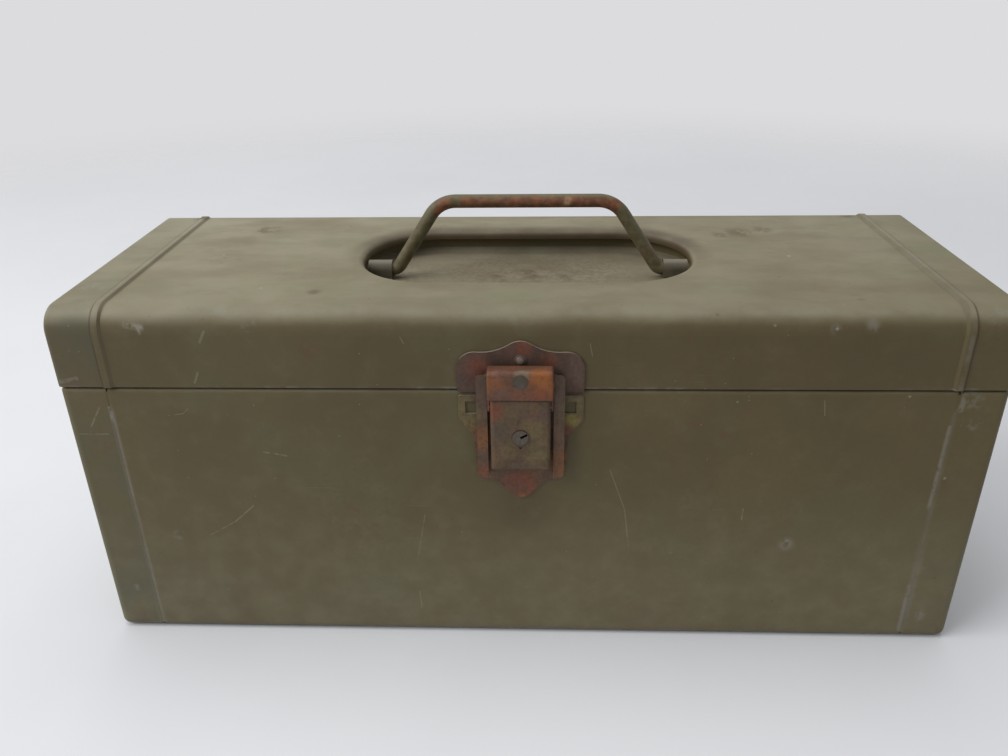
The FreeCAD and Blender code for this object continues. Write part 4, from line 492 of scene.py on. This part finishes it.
LID_MARKS = {
    "smudges": [
        ((-0.1367, -0.0835, 0.1955), 0.005, 0.52), ((-0.1515, -0.0770, 0.2010), 0.005, 0.44),
        ((-0.2386, FRONT, 0.1640), (-0.2301, FRONT, 0.1660), 0.0016, 0.46),
        ((0.1739, 0.0588, LID_TOP), 0.008, 0.48), ((0.2017, 0.0681, LID_TOP), 0.007, 0.44),
        ((0.1675, -0.0830, 0.1955), 0.005, 0.46), ((0.1500, -0.0835, 0.1935), 0.004, 0.46),
        ((-0.2290, -0.0500, LID_TOP), 0.010, 0.54), ((0.2285, -0.0800, 0.1980), 0.008, 0.54),
    ],
    "blots": [
        ((-0.1985, -0.0832, 0.1957), (-0.1915, -0.0834, 0.1938), 0.0026, 0.46),
        ((-0.1922, -0.0837, 0.1930), (-0.1920, -0.0838, 0.1912), 0.0012, 0.34),
        ((0.1209, -0.0833, 0.1955), 0.0012, 0.42), ((0.1505, -0.0834, 0.1937), 0.0011, 0.42),
        ((-0.1763, 0.0033, LID_TOP), 0.0012, 0.34), ((-0.1385, -0.0516, LID_TOP), 0.0012, 0.34),
        ((0.1474, -0.0009, LID_TOP), 0.0018, 0.38),
    ],
    "scrapes": [
        ((-0.1594, FRONT, 0.1921), (-0.1623, FRONT, 0.1864), 0.00094, 0.30),
        ((-0.1663, FRONT, 0.1693), (-0.1687, FRONT, 0.1638), 0.00079, 0.30),
        ((-0.0616, FRONT, 0.1895), (-0.0600, FRONT, 0.1860), 0.00043),
        ((0.0321, FRONT, 0.1860), (0.0335, FRONT, 0.1790), 0.00036),
        ((0.0967, -0.050, LID_TOP), (0.1040, -0.055, LID_TOP), 0.00036),
        ((-0.150, 0.050, LID_TOP), (-0.135, 0.056, LID_TOP), 0.00036),
    ],
    "stains": [
        ((-0.1091, -0.0574, LID_TOP), 0.0052, 0.34), ((0.1280, 0.0440, LID_TOP), 0.014, 0.44),
        ((0.1180, 0.0390, LID_TOP), 0.008, 0.44), ((0.1440, 0.0500, LID_TOP), 0.009, 0.48),
        ((-0.1643, 0.0528, LID_TOP), 0.012, 0.52), ((-0.1705, -0.0037, LID_TOP), 0.010, 0.54),
        ((0.2050, 0.0810, LID_TOP), 0.008, 0.50), ((-0.2155, 0.0780, LID_TOP), 0.008, 0.46),
    ],
    "rust": [
        ((LOCK.x, FRONT, 0.1860), 0.020, 0.50), ((-0.1080, FRONT, 0.1828), 0.010, 0.50),
        ((0.0900, FRONT, 0.1800), 0.030, 0.58), ((0.1657, -0.0683, LID_TOP), 0.003, 0.48),
    ],
}
PAN_MARKS = {
    "rust": [
        ((-0.020, 0.014, PAN_FLOOR), 0.050, 0.52, 420.0), ((0.030, 0.016, PAN_FLOOR), 0.050, 0.52, 420.0),
        ((-0.070, 0.010, PAN_FLOOR), 0.030, 0.56, 300.0), ((0.000, -0.014, PAN_FLOOR), 0.026, 0.56, 90.0),
    ],
    "smudges": [((-0.050, 0.012, PAN_FLOOR), 0.004, 0.40)],
    "stains": [
        ((0.004, 0.008, PAN_FLOOR), 0.020, 0.50, 110.0), ((-0.018, 0.003, PAN_FLOOR), 0.012, 0.52, 110.0),
        ((0.026, 0.004, PAN_FLOOR), 0.014, 0.54, 110.0),
    ],
}


def shade(colour, share):
    """A colour made darker, or lighter by a share above one."""
    return [part * share for part in colour]


def old_steel(name, base, rust_share, roughness, shine, spots):
    """Plated or bare steel with rust creeping over it; spots is how fine the rust's pattern is."""
    metal = Finish(name, specular=0.5)
    eaten = metal.cloud(spots, 5.0, 0.65, 0.3)
    fine = metal.cloud(420.0, 3.0, 0.6)
    brushed = metal.cloud(1.0, 2.0, 0.5, vector=metal.spread((160.0, 1100.0, 1100.0)))
    cover = metal.fade(eaten, 0.62 - rust_share * 0.4, 0.86 - rust_share * 0.4)
    colour = metal.blend(metal.fade(brushed, 0.35, 0.65), shade(base, 0.78), base)
    colour = metal.blend(metal.fade(fine, 0.45, 0.7, 0.0, 0.35), colour, shade(base, 0.55))
    rusty = metal.blend(metal.fade(fine, 0.35, 0.65), RUST_DARK_AND_SHADE, RUST)
    metal.colour(metal.blend(cover, colour, rusty))
    metal.metal(metal.maths("MULTIPLY_ADD", cover, -shine, shine, clamp=True))
    metal.rough(metal.maths("MULTIPLY_ADD", cover, 0.85 - roughness, roughness, clamp=True))
    metal.relief((fine, 0.6), (cover, 0.7), (brushed, 0.15), strength=0.35, distance=0.0003)
    return metal.material


def handle_finish():
    """Olive paint left on the legs, worn through to brown rust and dull steel along the grip."""
    metal = Finish("handle_worn_paint", specular=0.32)
    fine = metal.cloud(260.0, 4.0, 0.65)
    coarse = metal.cloud(70.0, 4.0, 0.6)
    between_bends = metal.fade(metal.maths("ABSOLUTE", metal.x), 0.0560, 0.0470)
    below_top = metal.times(metal.fade(metal.facing_z, 0.90, 0.66), between_bends)
    grip = metal.times(metal.fade(metal.z, LID_TOP + 0.016, LID_TOP + 0.030), below_top)
    worn = metal.fade(metal.maths("MULTIPLY_ADD", grip, 0.42, coarse), 0.68, 0.86)
    brown = metal.blend(metal.fade(fine, 0.38, 0.66), RUST_DEEP, RUST_LIGHT)
    colour = metal.blend(metal.fade(fine, 0.35, 0.7), OLIVE_DARK, OLIVE_FADED)
    colour = metal.blend(metal.fade(coarse, 0.52, 0.7, 0.0, 0.5), colour, RUST)
    colour = metal.blend(worn, colour, brown)
    nick = metal.times(metal.patch((0.0225, 0.0, 0.2345), 0.0035, 0.38), 0.8)
    metal.colour(metal.blend(nick, colour, NICK_TAN))
    metal.rough(metal.fade(fine, 0.3, 0.7, 0.46, 0.64))
    metal.relief((fine, 0.8), (worn, -0.6), (coarse, 0.5), strength=0.4, distance=0.0003)
    return metal.material


def saddle_finish():
    """Dark brownish olive paint, with the crests of the saddles lightened in the dust colour as a painted
    highlight.
    """
    coat = Finish("saddle_worn_paint", specular=0.34)
    patchy = coat.cloud(130.0, 4.0, 0.6)
    colour = coat.blend(coat.fade(patchy, 0.35, 0.65), SADDLE_DARK, SADDLE_PALE)
    # Painted highlight: what faces up is lightened with the dust colour
    colour = coat.blend(coat.fade(coat.facing_z, 0.70, 1.0, 0.0, 0.30), colour, DUST_AND_LIGHT)
    coat.colour(colour)
    coat.rough(coat.fade(patchy, 0.3, 0.7, 0.50, 0.66))
    coat.relief((coat.cloud(420.0, 3.0), 0.6), (patchy, 0.6), strength=0.35, distance=0.0003)
    return coat.material


# Base colours of the latch's plates, the rust, dirt and plating on them, and the painted highlight and
# shade of the plate edges and the crown rivet
STEEL_BROWN = (0.086, 0.049, 0.034)
HOOD_BROWN = (0.132, 0.056, 0.032)
CASE_BROWN = (0.106, 0.066, 0.036)
BASE_BROWN = (0.112, 0.066, 0.040)
BRASS_OLIVE = (0.150, 0.122, 0.048)
BRASS_YELLOW = (0.215, 0.165, 0.045)
GREY_OLIVE = (0.150, 0.118, 0.076)
GREY_BROWN = (0.078, 0.060, 0.042)
EDGE_TAN = (0.300, 0.235, 0.185)
PLUG_BRASS = (0.100, 0.076, 0.053)
PLUG_DULL = (0.070, 0.050, 0.036)
PLUG_RIM = (0.030, 0.018, 0.012)
CROWN_HIGHLIGHT = (0.165, 0.120, 0.092)
CROWN_SIDE = (0.088, 0.058, 0.045)
CROWN_FOOT_SHADE = (0.075, 0.048, 0.036)
PLUM = (0.105, 0.064, 0.052)
PLUM_DARK = (0.080, 0.045, 0.040)
RAIL_BROWN = (0.100, 0.066, 0.050)
RAIL_DARK = (0.092, 0.060, 0.046)
HOOD_DULL = (0.120, 0.068, 0.048)
HOOD_PINK = (0.185, 0.085, 0.060)
CASE_LIGHT = (0.120, 0.086, 0.048)
CASE_EDGE = (0.120, 0.070, 0.050)
CASE_RED = (0.140, 0.074, 0.044)
CASE_PLUM = (0.090, 0.058, 0.050)


def latch_finish(name, base, patches, edge=None, bright=0.25, streak=0.25, grime_and_shade=None):
    """Brass plating gone brown, with patches of rust or of plating that is left.

    Each patch is (centre, size, colour, share); bright is how much of the metal still shines and
    streak how dark the lines of the drawn sheet are.
    """
    metal = Finish(name, specular=0.28)
    broad = metal.cloud(95.0, 4.0, 0.6, 0.4)
    fine = metal.cloud(560.0, 4.0, 0.65)
    drawn = metal.cloud(1.0, 3.0, 0.55, vector=metal.spread((620.0, 620.0, 60.0)))
    colour = metal.blend(metal.fade(broad, 0.32, 0.68), shade(base, 0.76), shade(base, 1.22))
    for centre, size, tint, share in patches:
        spot = metal.fade(metal.vector_maths("DISTANCE", metal.place, centre), size, size * 0.35)
        spot = metal.times(spot, metal.fade(broad, 0.30, 0.56, 0.35, 1.0), share)
        colour = metal.blend(spot, colour, tint)
    colour = metal.blend(metal.fade(fine, 0.42, 0.72, 0.0, 0.35), colour, RUST_DARK_AND_SHADE)
    colour = metal.blend(metal.fade(drawn, 0.55, 0.72, 0.0, streak), colour, RUST_DARK_AND_SHADE)
    # Painted highlight on the plates' upward edges
    if edge:
        colour = metal.blend(edge(metal), colour, EDGE_TAN)
    # Painted shadow in black under the hood's lip and along the foot of the case
    if grime_and_shade:
        colour = metal.blend(grime_and_shade(metal), colour, BLACK)
    metal.colour(colour)
    metal.metal(metal.fade(broad, 0.50, 0.62, 0.0, bright))
    metal.rough(metal.fade(fine, 0.3, 0.7, 0.48, 0.70))
    metal.relief((fine, 0.8), (broad, 0.7), (drawn, 0.25), strength=0.40, distance=0.0003)
    return metal.material


def plate_edge_highlight(metal):
    """A painted highlight on the cut edge of a plate where it faces up."""
    upward = metal.fade(metal.facing_z, 0.35, 0.8)
    return metal.times(upward, metal.fade(metal.y, FRONT - 0.0016, FRONT - 0.0010), 0.75)


def hood_lip_shadow(metal):
    """Painted shadow on the case along the lip of the hood."""
    line = metal.near(metal.z, HOOD_LIP - 0.0004, 0.0016)
    return metal.times(line, metal.fade(metal.facing_y, -0.6, -0.9), 0.80)


def case_foot_shadow(metal):
    """Painted shadow on the base plate along the lower edge of the case."""
    line = metal.near(metal.z, CASE_FOOT - 0.0006, 0.0016)
    return metal.times(line, metal.fade(metal.away(metal.x, LOCK.x), 0.0165, 0.0150), 0.60)


def plug_finish():
    """Dull brass, dark at its rim, with its key slot painted black as shade."""
    metal = Finish("lock_plug_brass", specular=0.5)
    fine = metal.cloud(700.0, 3.0, 0.6)
    away = metal.vector_maths("DISTANCE", metal.place, LOCK)
    colour = metal.blend(metal.fade(fine, 0.35, 0.7), PLUG_BRASS, PLUG_DULL)
    rim = metal.fade(away, PLUG_RADIUS * 0.80, PLUG_RADIUS * 0.97)
    colour = metal.blend(rim, colour, PLUG_RIM)
    # Painted shade: what lies deeper than the plug's face, in the key slot, is black
    slot_shade = metal.fade(metal.y, LOCK.y + 0.0003, LOCK.y + 0.0008)
    metal.colour(metal.blend(slot_shade, colour, BLACK))
    metal.metal(metal.fade(away, PLUG_RADIUS, PLUG_RADIUS * 0.7, 0.0, 0.22))
    metal.rough(metal.fade(fine, 0.3, 0.7, 0.42, 0.6))
    metal.relief((fine, 0.6), strength=0.3, distance=0.0002)
    return metal.material


def crown_rivet_finish():
    """A brown domed head, with a painted highlight on top and painted shade round its foot."""
    low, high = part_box("crown_rivet")
    middle = Vector(((low[0] + high[0]) / 2, low[1], (low[2] + high[2]) / 2))
    reach = (high[0] - low[0]) / 2
    metal = Finish("crown_rivet_brown", roughness=0.40, specular=0.4)
    away = metal.vector_maths("DISTANCE", metal.place, middle)
    # Painted highlight on top of the dome and painted shade round its foot
    colour = metal.blend(metal.fade(away, reach * 0.35, reach * 0.70), CROWN_HIGHLIGHT, CROWN_SIDE)
    metal.colour(metal.blend(metal.fade(away, reach * 0.90, reach * 1.10), colour, CROWN_FOOT_SHADE))
    metal.relief((metal.cloud(520.0, 3.0), 0.6), strength=0.3, distance=0.0002)
    return metal.material


strike_finish = latch_finish("strike_plate_brown", STEEL_BROWN, [
    ((LOCK.x - 0.020, STRIKE_FRONT, SKIRT + 0.0100), 0.011, RUST_RED, 0.75),
    ((LOCK.x + 0.002, STRIKE_FRONT, SKIRT + 0.0230), 0.006, RUST_RED, 0.70),
    ((LOCK.x + 0.014, STRIKE_FRONT, SKIRT + 0.0165), 0.006, RUST_RED, 0.55),
    ((LOCK.x + 0.026, STRIKE_FRONT, SKIRT + 0.0100), 0.010, PLUM, 0.70),
    ((LOCK.x - 0.027, STRIKE_FRONT, SKIRT + 0.0060), 0.008, PLUM_DARK, 0.60),
], plate_edge_highlight)
base_finish = latch_finish("latch_base_worn_brass", BASE_BROWN, [
    ((LOCK.x - 0.027, FRONT, SHOULDER - 0.0100), 0.013, BRASS_OLIVE, 0.85),
    ((LOCK.x + 0.027, FRONT, SHOULDER - 0.0080), 0.013, BRASS_OLIVE, 0.85),
    ((LOCK.x + 0.026, FRONT, SHOULDER - 0.0170), 0.006, BRASS_YELLOW, 0.95),
    ((LOCK.x - 0.026, FRONT, SHOULDER - 0.0200), 0.006, BRASS_YELLOW, 0.45),
    ((LOCK.x + 0.025, FRONT, SHOULDER - 0.0225), 0.004, RUST_RED, 0.80),
    ((LOCK.x - 0.020, FRONT - 0.006, SHOULDER - 0.0240), 0.010, RUST_ORANGE, 0.45),
    ((LOCK.x + 0.020, FRONT - 0.006, SHOULDER - 0.0400), 0.012, RUST_ORANGE, 0.40),
    ((LOCK.x - 0.019, FRONT - 0.006, SHOULDER - 0.0460), 0.008, RUST_RED, 0.55),
    ((LOCK.x, FRONT, SHOULDER - 0.0560), 0.013, RUST_RED, 0.80),
    ((LOCK.x, FRONT, SHOULDER - 0.0640), 0.004, RUST_ORANGE, 0.85),
    ((LOCK.x + 0.020, FRONT - 0.006, SHOULDER), 0.014, RAIL_BROWN, 0.70),
    ((LOCK.x - 0.020, FRONT - 0.006, SHOULDER), 0.014, RAIL_DARK, 0.70),
], plate_edge_highlight, grime_and_shade=case_foot_shadow)
hood_finish = latch_finish("claw_hood_rust", HOOD_BROWN, [
    ((LOCK.x - 0.013, HOOD_FRONT, SHOULDER + 0.0095), 0.007, RUST_ORANGE, 0.50),
    ((LOCK.x + 0.010, HOOD_FRONT, SHOULDER + 0.0110), 0.009, RUST_ORANGE, 0.95),
    ((LOCK.x + 0.014, HOOD_FRONT, SHOULDER + 0.0060), 0.007, RUST_ORANGE, 0.70),
    ((LOCK.x + 0.010, HOOD_FRONT, SHOULDER + 0.0030), 0.007, RUST_RED, 0.60),
    ((LOCK.x - 0.010, HOOD_FRONT, SHOULDER + 0.0030), 0.007, HOOD_DULL, 0.60),
    ((LOCK.x - 0.010, HOOD_FRONT, SHOULDER + 0.0150), 0.006, HOOD_PINK, 0.65),
    ((LOCK.x + 0.001, HOOD_FRONT, SHOULDER + 0.0150), 0.0055, GREY_OLIVE, 0.85),
], bright=0.12, streak=0.10)
case_finish = latch_finish("lock_case_brown", CASE_BROWN, [
    ((LOCK.x + 0.007, CASE_FRONT, SHOULDER - 0.0170), 0.009, BRASS_OLIVE, 0.45),
    ((LOCK.x + 0.008, CASE_FRONT, SHOULDER - 0.0300), 0.010, BRASS_OLIVE, 0.55),
    ((LOCK.x - 0.006, CASE_FRONT, SHOULDER - 0.0290), 0.007, BRASS_OLIVE, 0.35),
    ((LOCK.x - 0.002, CASE_FRONT, SHOULDER - 0.0060), 0.008, CASE_LIGHT, 0.50),
    ((LOCK.x - 0.0148, CASE_FRONT + 0.001, SHOULDER - 0.0060), 0.009, RUST_RED, 0.75),
    ((LOCK.x - 0.0148, CASE_FRONT + 0.001, SHOULDER - 0.0200), 0.008, CASE_EDGE, 0.60),
    ((LOCK.x + 0.006, CASE_FRONT, SHOULDER - 0.0100), 0.006, CASE_RED, 0.45),
    ((LOCK.x - 0.010, CASE_FRONT, SHOULDER - 0.0180), 0.007, GREY_BROWN, 0.75),
    ((LOCK.x + 0.0135, CASE_FRONT, SHOULDER - 0.0080), 0.007, CASE_PLUM, 0.60),
    ((LOCK.x, CASE_FRONT, SHOULDER - 0.0415), 0.009, GREY_BROWN, 0.60),
], bright=0.22, streak=0.22, grime_and_shade=hood_lip_shadow)
flush_rivet_finish = latch_finish("flush_rivet_brown", GREY_BROWN, [], bright=0.10, streak=0.0)

body_paint = olive_paint("body_olive", 0.30, BODY_MARKS, body_wear, body_grime)
lid_paint = olive_paint("lid_olive", 0.70, LID_MARKS, lid_wear_and_highlight, lid_painted_shade)
pan_paint = olive_paint("pan_olive", 0.64, PAN_MARKS, grime_and_shade=pan_painted_shade, dirt=1.3)
tray_paint = olive_paint("tray_olive", 0.12, {}, dirt=0.6)
hinge_steel = old_steel(
    "hinge_dull_steel", HINGE_GREY, rust_share=0.50, roughness=0.52, shine=0.60, spots=190.0,
)
fitting_steel = old_steel(
    "fitting_steel", ZINC_GREY, rust_share=0.25, roughness=0.38, shine=0.85, spots=60.0,
)
saddle_paint = saddle_finish()
FINISHES = {
    "handle": handle_finish(), "strike_plate": strike_finish, "latch_base": base_finish,
    "latch_claw": hood_finish, "claw_rivet": flush_rivet_finish, "latch_lever": case_finish,
    "lock_plug": plug_finish(), "crown_rivet": crown_rivet_finish(), "handle_pan": pan_paint,
    "strike_rivets": strike_finish, "latch_base_rivets": base_finish,
}
for finish, names in (
    (body_paint, ("body_wrapper", "body_end_left", "body_end_right")),
    (lid_paint, ("lid_wrapper", "lid_end_left", "lid_end_right")),
    (tray_paint, ("tray_pan", "tray_divider_long", "tray_dividers_front", "tray_dividers_back")),
    (hinge_steel, ("hinge_leaf_body", "hinge_leaf_lid", "hinge_pin")),
    (saddle_paint, ("handle_saddle_left", "handle_saddle_right", "saddle_rivets")),
):
    for name in names:
        FINISHES[name] = finish
for name, cad_object in nodes.items():
    cad_object.data.materials.clear()
    cad_object.data.materials.append(FINISHES.get(name, fitting_steel))


def placed(mesh, name, finish, body):
    """Turns a bmesh into a piece that rides on a body and takes the finish that it is given."""
    data = bpy.data.meshes.new(name)
    mesh.to_mesh(data)
    mesh.free()
    piece = bpy.data.objects.new(name, data)
    scene.collection.objects.link(piece)
    data.materials.append(finish)
    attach(piece, body)
    return piece


# Divisions of a rivet's dome and of its round, its brim's share of the head's height, and how much
# longer than one head a node's box may be and still hold a single row
RIVET_STEPS, RIVET_SIDES = 8, 28
BRIM = 0.3
SAME_ROW = 0.0001
Y, Z = 1, 2


def rivet_rows(low, high, radius):
    """Where rivets sit along one direction: a single row in the middle, or a row at each end."""
    if high - low < 2 * radius + SAME_ROW:
        return [(low + high) / 2]
    return [low + radius, high - radius]


def domed_rivets(
    node, body, axis, outward, head_radius, head_height, tail_height, shank, dome=0.9,
):
    """Turned rivets at the places of a CAD node's plain ones: dome outside, shank, flat tail inside.

    axis is the coordinate that they lie along and outward the side of the dome, as -1 or 1.
    """
    low, high = Vector(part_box(node)[0]), Vector(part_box(node)[1])
    foot = high[axis] - head_height if outward > 0 else low[axis] + head_height
    grip = (high[axis] - low[axis]) - head_height - tail_height
    profile = [(0.0, head_height)]
    for step in range(1, RIVET_STEPS + 1):
        angle = math.pi / 2 * step / RIVET_STEPS
        rise = head_height * (BRIM + (1 - BRIM) * math.cos(angle))
        profile.append((dome * head_radius * math.sin(angle), rise))
    profile += [
        (head_radius * 0.94, head_height * BRIM), (head_radius, head_height * 0.2), (head_radius, 0.0),
        (shank, 0.0), (shank, -grip), (head_radius, -grip),
        (head_radius, -grip - tail_height), (0.0, -grip - tail_height),
    ]
    turned = bmesh.new()
    points = [turned.verts.new((radius, 0.0, height)) for radius, height in profile]
    for first, second in zip(points, points[1:]):
        turned.edges.new((first, second))
    bmesh.ops.spin(
        turned, geom=turned.verts[:] + turned.edges[:], cent=(0, 0, 0), axis=(0, 0, 1), angle=math.tau,
        steps=RIVET_SIDES, use_merge=True,
    )
    bmesh.ops.remove_doubles(turned, verts=turned.verts[:], dist=1e-7)
    bmesh.ops.recalc_face_normals(turned, faces=turned.faces[:])
    one = bpy.data.meshes.new("one_rivet")
    turned.to_mesh(one)
    turned.free()
    direction = Vector((0, 0, 0))
    direction[axis] = outward
    turn = direction.to_track_quat("Z", "Y").to_matrix().to_4x4()
    across, along = [index for index in range(3) if index != axis]
    group = bmesh.new()
    for first in rivet_rows(low[across], high[across], head_radius):
        for second in rivet_rows(low[along], high[along], head_radius):
            centre = Vector((0, 0, 0))
            centre[axis], centre[across], centre[along] = foot, first, second
            copy = one.copy()
            copy.transform(Matrix.Translation(centre) @ turn)
            group.from_mesh(copy)
            bpy.data.meshes.remove(copy)
    bpy.data.meshes.remove(one)
    bmesh.ops.recalc_face_normals(group, faces=group.faces[:])
    for face in group.faces:
        face.smooth = True
    piece = placed(group, f"{node}_domed", FINISHES[node], body)
    piece.data.set_sharp_from_angle(angle=math.radians(40))
    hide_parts(node)


domed_rivets(
    "crown_rivet", "lid", Y, -1,
    head_radius=0.0032, head_height=0.0016, tail_height=0.0009, shank=0.0016, dome=0.74,
)
domed_rivets(
    "strike_rivets", "lid", Y, -1,
    head_radius=0.0027, head_height=0.0009, tail_height=0.0009, shank=0.0016,
)
domed_rivets(
    "latch_base_rivets", "body", Y, -1,
    head_radius=0.0027, head_height=0.0009, tail_height=0.0009, shank=0.0016,
)
domed_rivets(
    "saddle_rivets", "lid", Z, 1,
    head_radius=0.0022, head_height=0.0007, tail_height=0.0007, shank=0.0012,
)


# The strip of paint in each groove: its ends in height, how far it lies under the wall, its overlap
FILLER_LOW, FILLER_HIGH = 0.0042, SHOULDER - 0.0017
FILLER_SUNK, FILLER_FOOT = 0.00012, 0.00075
FILLER_OVERLAP = 0.0002


def seam_filler():
    """Paint that has run into the groove of each lap, so that it reads as a line, not a gap."""
    mesh = bmesh.new()
    for side in (-1, 1):
        for face, inward in ((FRONT, 1), (BACK, -1)):
            near_x, far_x = side * (SEAM - JOGGLE * 1.02), side * (SEAM + FILLER_OVERLAP)
            near_y, far_y = face + inward * FILLER_SUNK, face + inward * FILLER_FOOT
            size = Vector((abs(far_x - near_x), abs(far_y - near_y), FILLER_HIGH - FILLER_LOW))
            middle = Vector(((near_x + far_x) / 2, (near_y + far_y) / 2, (FILLER_LOW + FILLER_HIGH) / 2))
            strip = bmesh.ops.create_cube(mesh, size=1.0)["verts"]
            bmesh.ops.scale(mesh, vec=size, verts=strip)
            bmesh.ops.translate(mesh, vec=middle, verts=strip)
    bmesh.ops.recalc_face_normals(mesh, faces=mesh.faces[:])
    placed(mesh, "seam_filler", body_paint, "body")


seam_filler()


# Table, lights and background
PAPER = (0.715, 0.715, 0.728)
TABLE_RADIUS = 3.0
TABLE_FADE = (0.75, 1.9)
TABLE_WHITE, TABLE_PALE = (0.70, 0.70, 0.72), (0.74, 0.74, 0.757)
BOX_MIDDLE = Vector((0, 0, 0.1))


def table():
    """A round white top that fades into the background, and takes the object's shadow."""
    mesh = bmesh.new()
    bmesh.ops.create_circle(mesh, cap_ends=True, segments=96, radius=TABLE_RADIUS)
    data = bpy.data.meshes.new("table")
    mesh.to_mesh(data)
    mesh.free()
    top = bpy.data.objects.new("table", data)
    scene.collection.objects.link(top)
    coat = Finish("table_white", roughness=0.6, specular=0.3)
    faint = coat.cloud(2.2, 4.0, 0.6)
    coat.colour(coat.blend(coat.fade(faint, 0.3, 0.7), TABLE_WHITE, TABLE_PALE))
    clear = coat.tree.nodes.new("ShaderNodeBsdfTransparent")
    mixer = coat.tree.nodes.new("ShaderNodeMixShader")
    away = coat.vector_maths("DISTANCE", coat.place, (0.0, 0.0, 0.0))
    coat.put(mixer.inputs[0], coat.fade(away, *TABLE_FADE))
    coat.put(mixer.inputs[1], coat.shader.outputs[0])
    coat.put(mixer.inputs[2], clear.outputs[0])
    coat.put(coat.tree.nodes["Material Output"].inputs["Surface"], mixer.outputs[0])
    data.materials.append(coat.material)


def lamp(name, place, size, power, tint=(1, 1, 1)):
    """A soft rectangular light aimed at the middle of the box."""
    light = bpy.data.lights.new(name, "AREA")
    light.shape = "RECTANGLE"
    light.size, light.size_y = size
    light.energy = power
    light.color = tint
    holder = bpy.data.objects.new(name, light)
    holder.location = place
    holder.rotation_euler = (BOX_MIDDLE - Vector(place)).to_track_quat("-Z", "Y").to_euler()
    scene.collection.objects.link(holder)


table()
lamp("window_light", (-1.9, -0.9, 1.8), (1.6, 1.6), 44.0, (0.97, 0.99, 1.0))
lamp("ceiling_light", (-0.3, 0.2, 2.8), (2.4, 2.0), 37.0)

# The room lights the box, and the camera, metal and glass see the paper behind it
world = bpy.data.worlds.new("room")
scene.world = world
world.use_nodes = True
room = world.node_tree
lighting = room.nodes["Background"]
lighting.inputs["Color"].default_value = (0.90, 0.93, 0.97, 1.0)
lighting.inputs["Strength"].default_value = 0.36
seen = room.nodes.new("ShaderNodeBackground")
seen.inputs["Color"].default_value = (*PAPER, 1.0)
path = room.nodes.new("ShaderNodeLightPath")
choice = room.nodes.new("ShaderNodeMixShader")
shown = path.outputs["Is Camera Ray"]
for kind in ("Is Glossy Ray", "Is Transmission Ray"):
    either = room.nodes.new("ShaderNodeMath")
    either.operation = "MAXIMUM"
    room.links.new(shown, either.inputs[0])
    room.links.new(path.outputs[kind], either.inputs[1])
    shown = either.outputs[0]
room.links.new(shown, choice.inputs[0])
room.links.new(lighting.outputs[0], choice.inputs[1])
room.links.new(seen.outputs[0], choice.inputs[2])
room.links.new(choice.outputs[0], room.nodes["World Output"].inputs["Surface"])

# Camera, fitted to the box's corners and seams: focal length in the photograph's pixels, then its
# place in metres and the directions of its right side and its view
PHOTO_WIDTH = 1008
FOCAL_LENGTH = 859.71
CAMERA_PLACE = (0.00657, -0.47018, 0.35927)
CAMERA_RIGHT = (0.99921, 0.03682, -0.01472)
CAMERA_AHEAD = (-0.03952, 0.89454, -0.44524)
camera_data = bpy.data.cameras.new("camera")
camera_data.sensor_width = 36.0
camera_data.lens = FOCAL_LENGTH / PHOTO_WIDTH * camera_data.sensor_width
camera_data.clip_start = 0.02
camera = bpy.data.objects.new("camera", camera_data)
scene.collection.objects.link(camera)
ahead = Vector(CAMERA_AHEAD).normalized()
up = Vector(CAMERA_RIGHT).normalized().cross(ahead).normalized()
right = ahead.cross(up).normalized()
turn = Matrix((right, up, -ahead)).transposed().to_4x4()
camera.matrix_world = Matrix.Translation(CAMERA_PLACE) @ turn
scene.camera = camera
scene.view_settings.view_transform = "Standard"
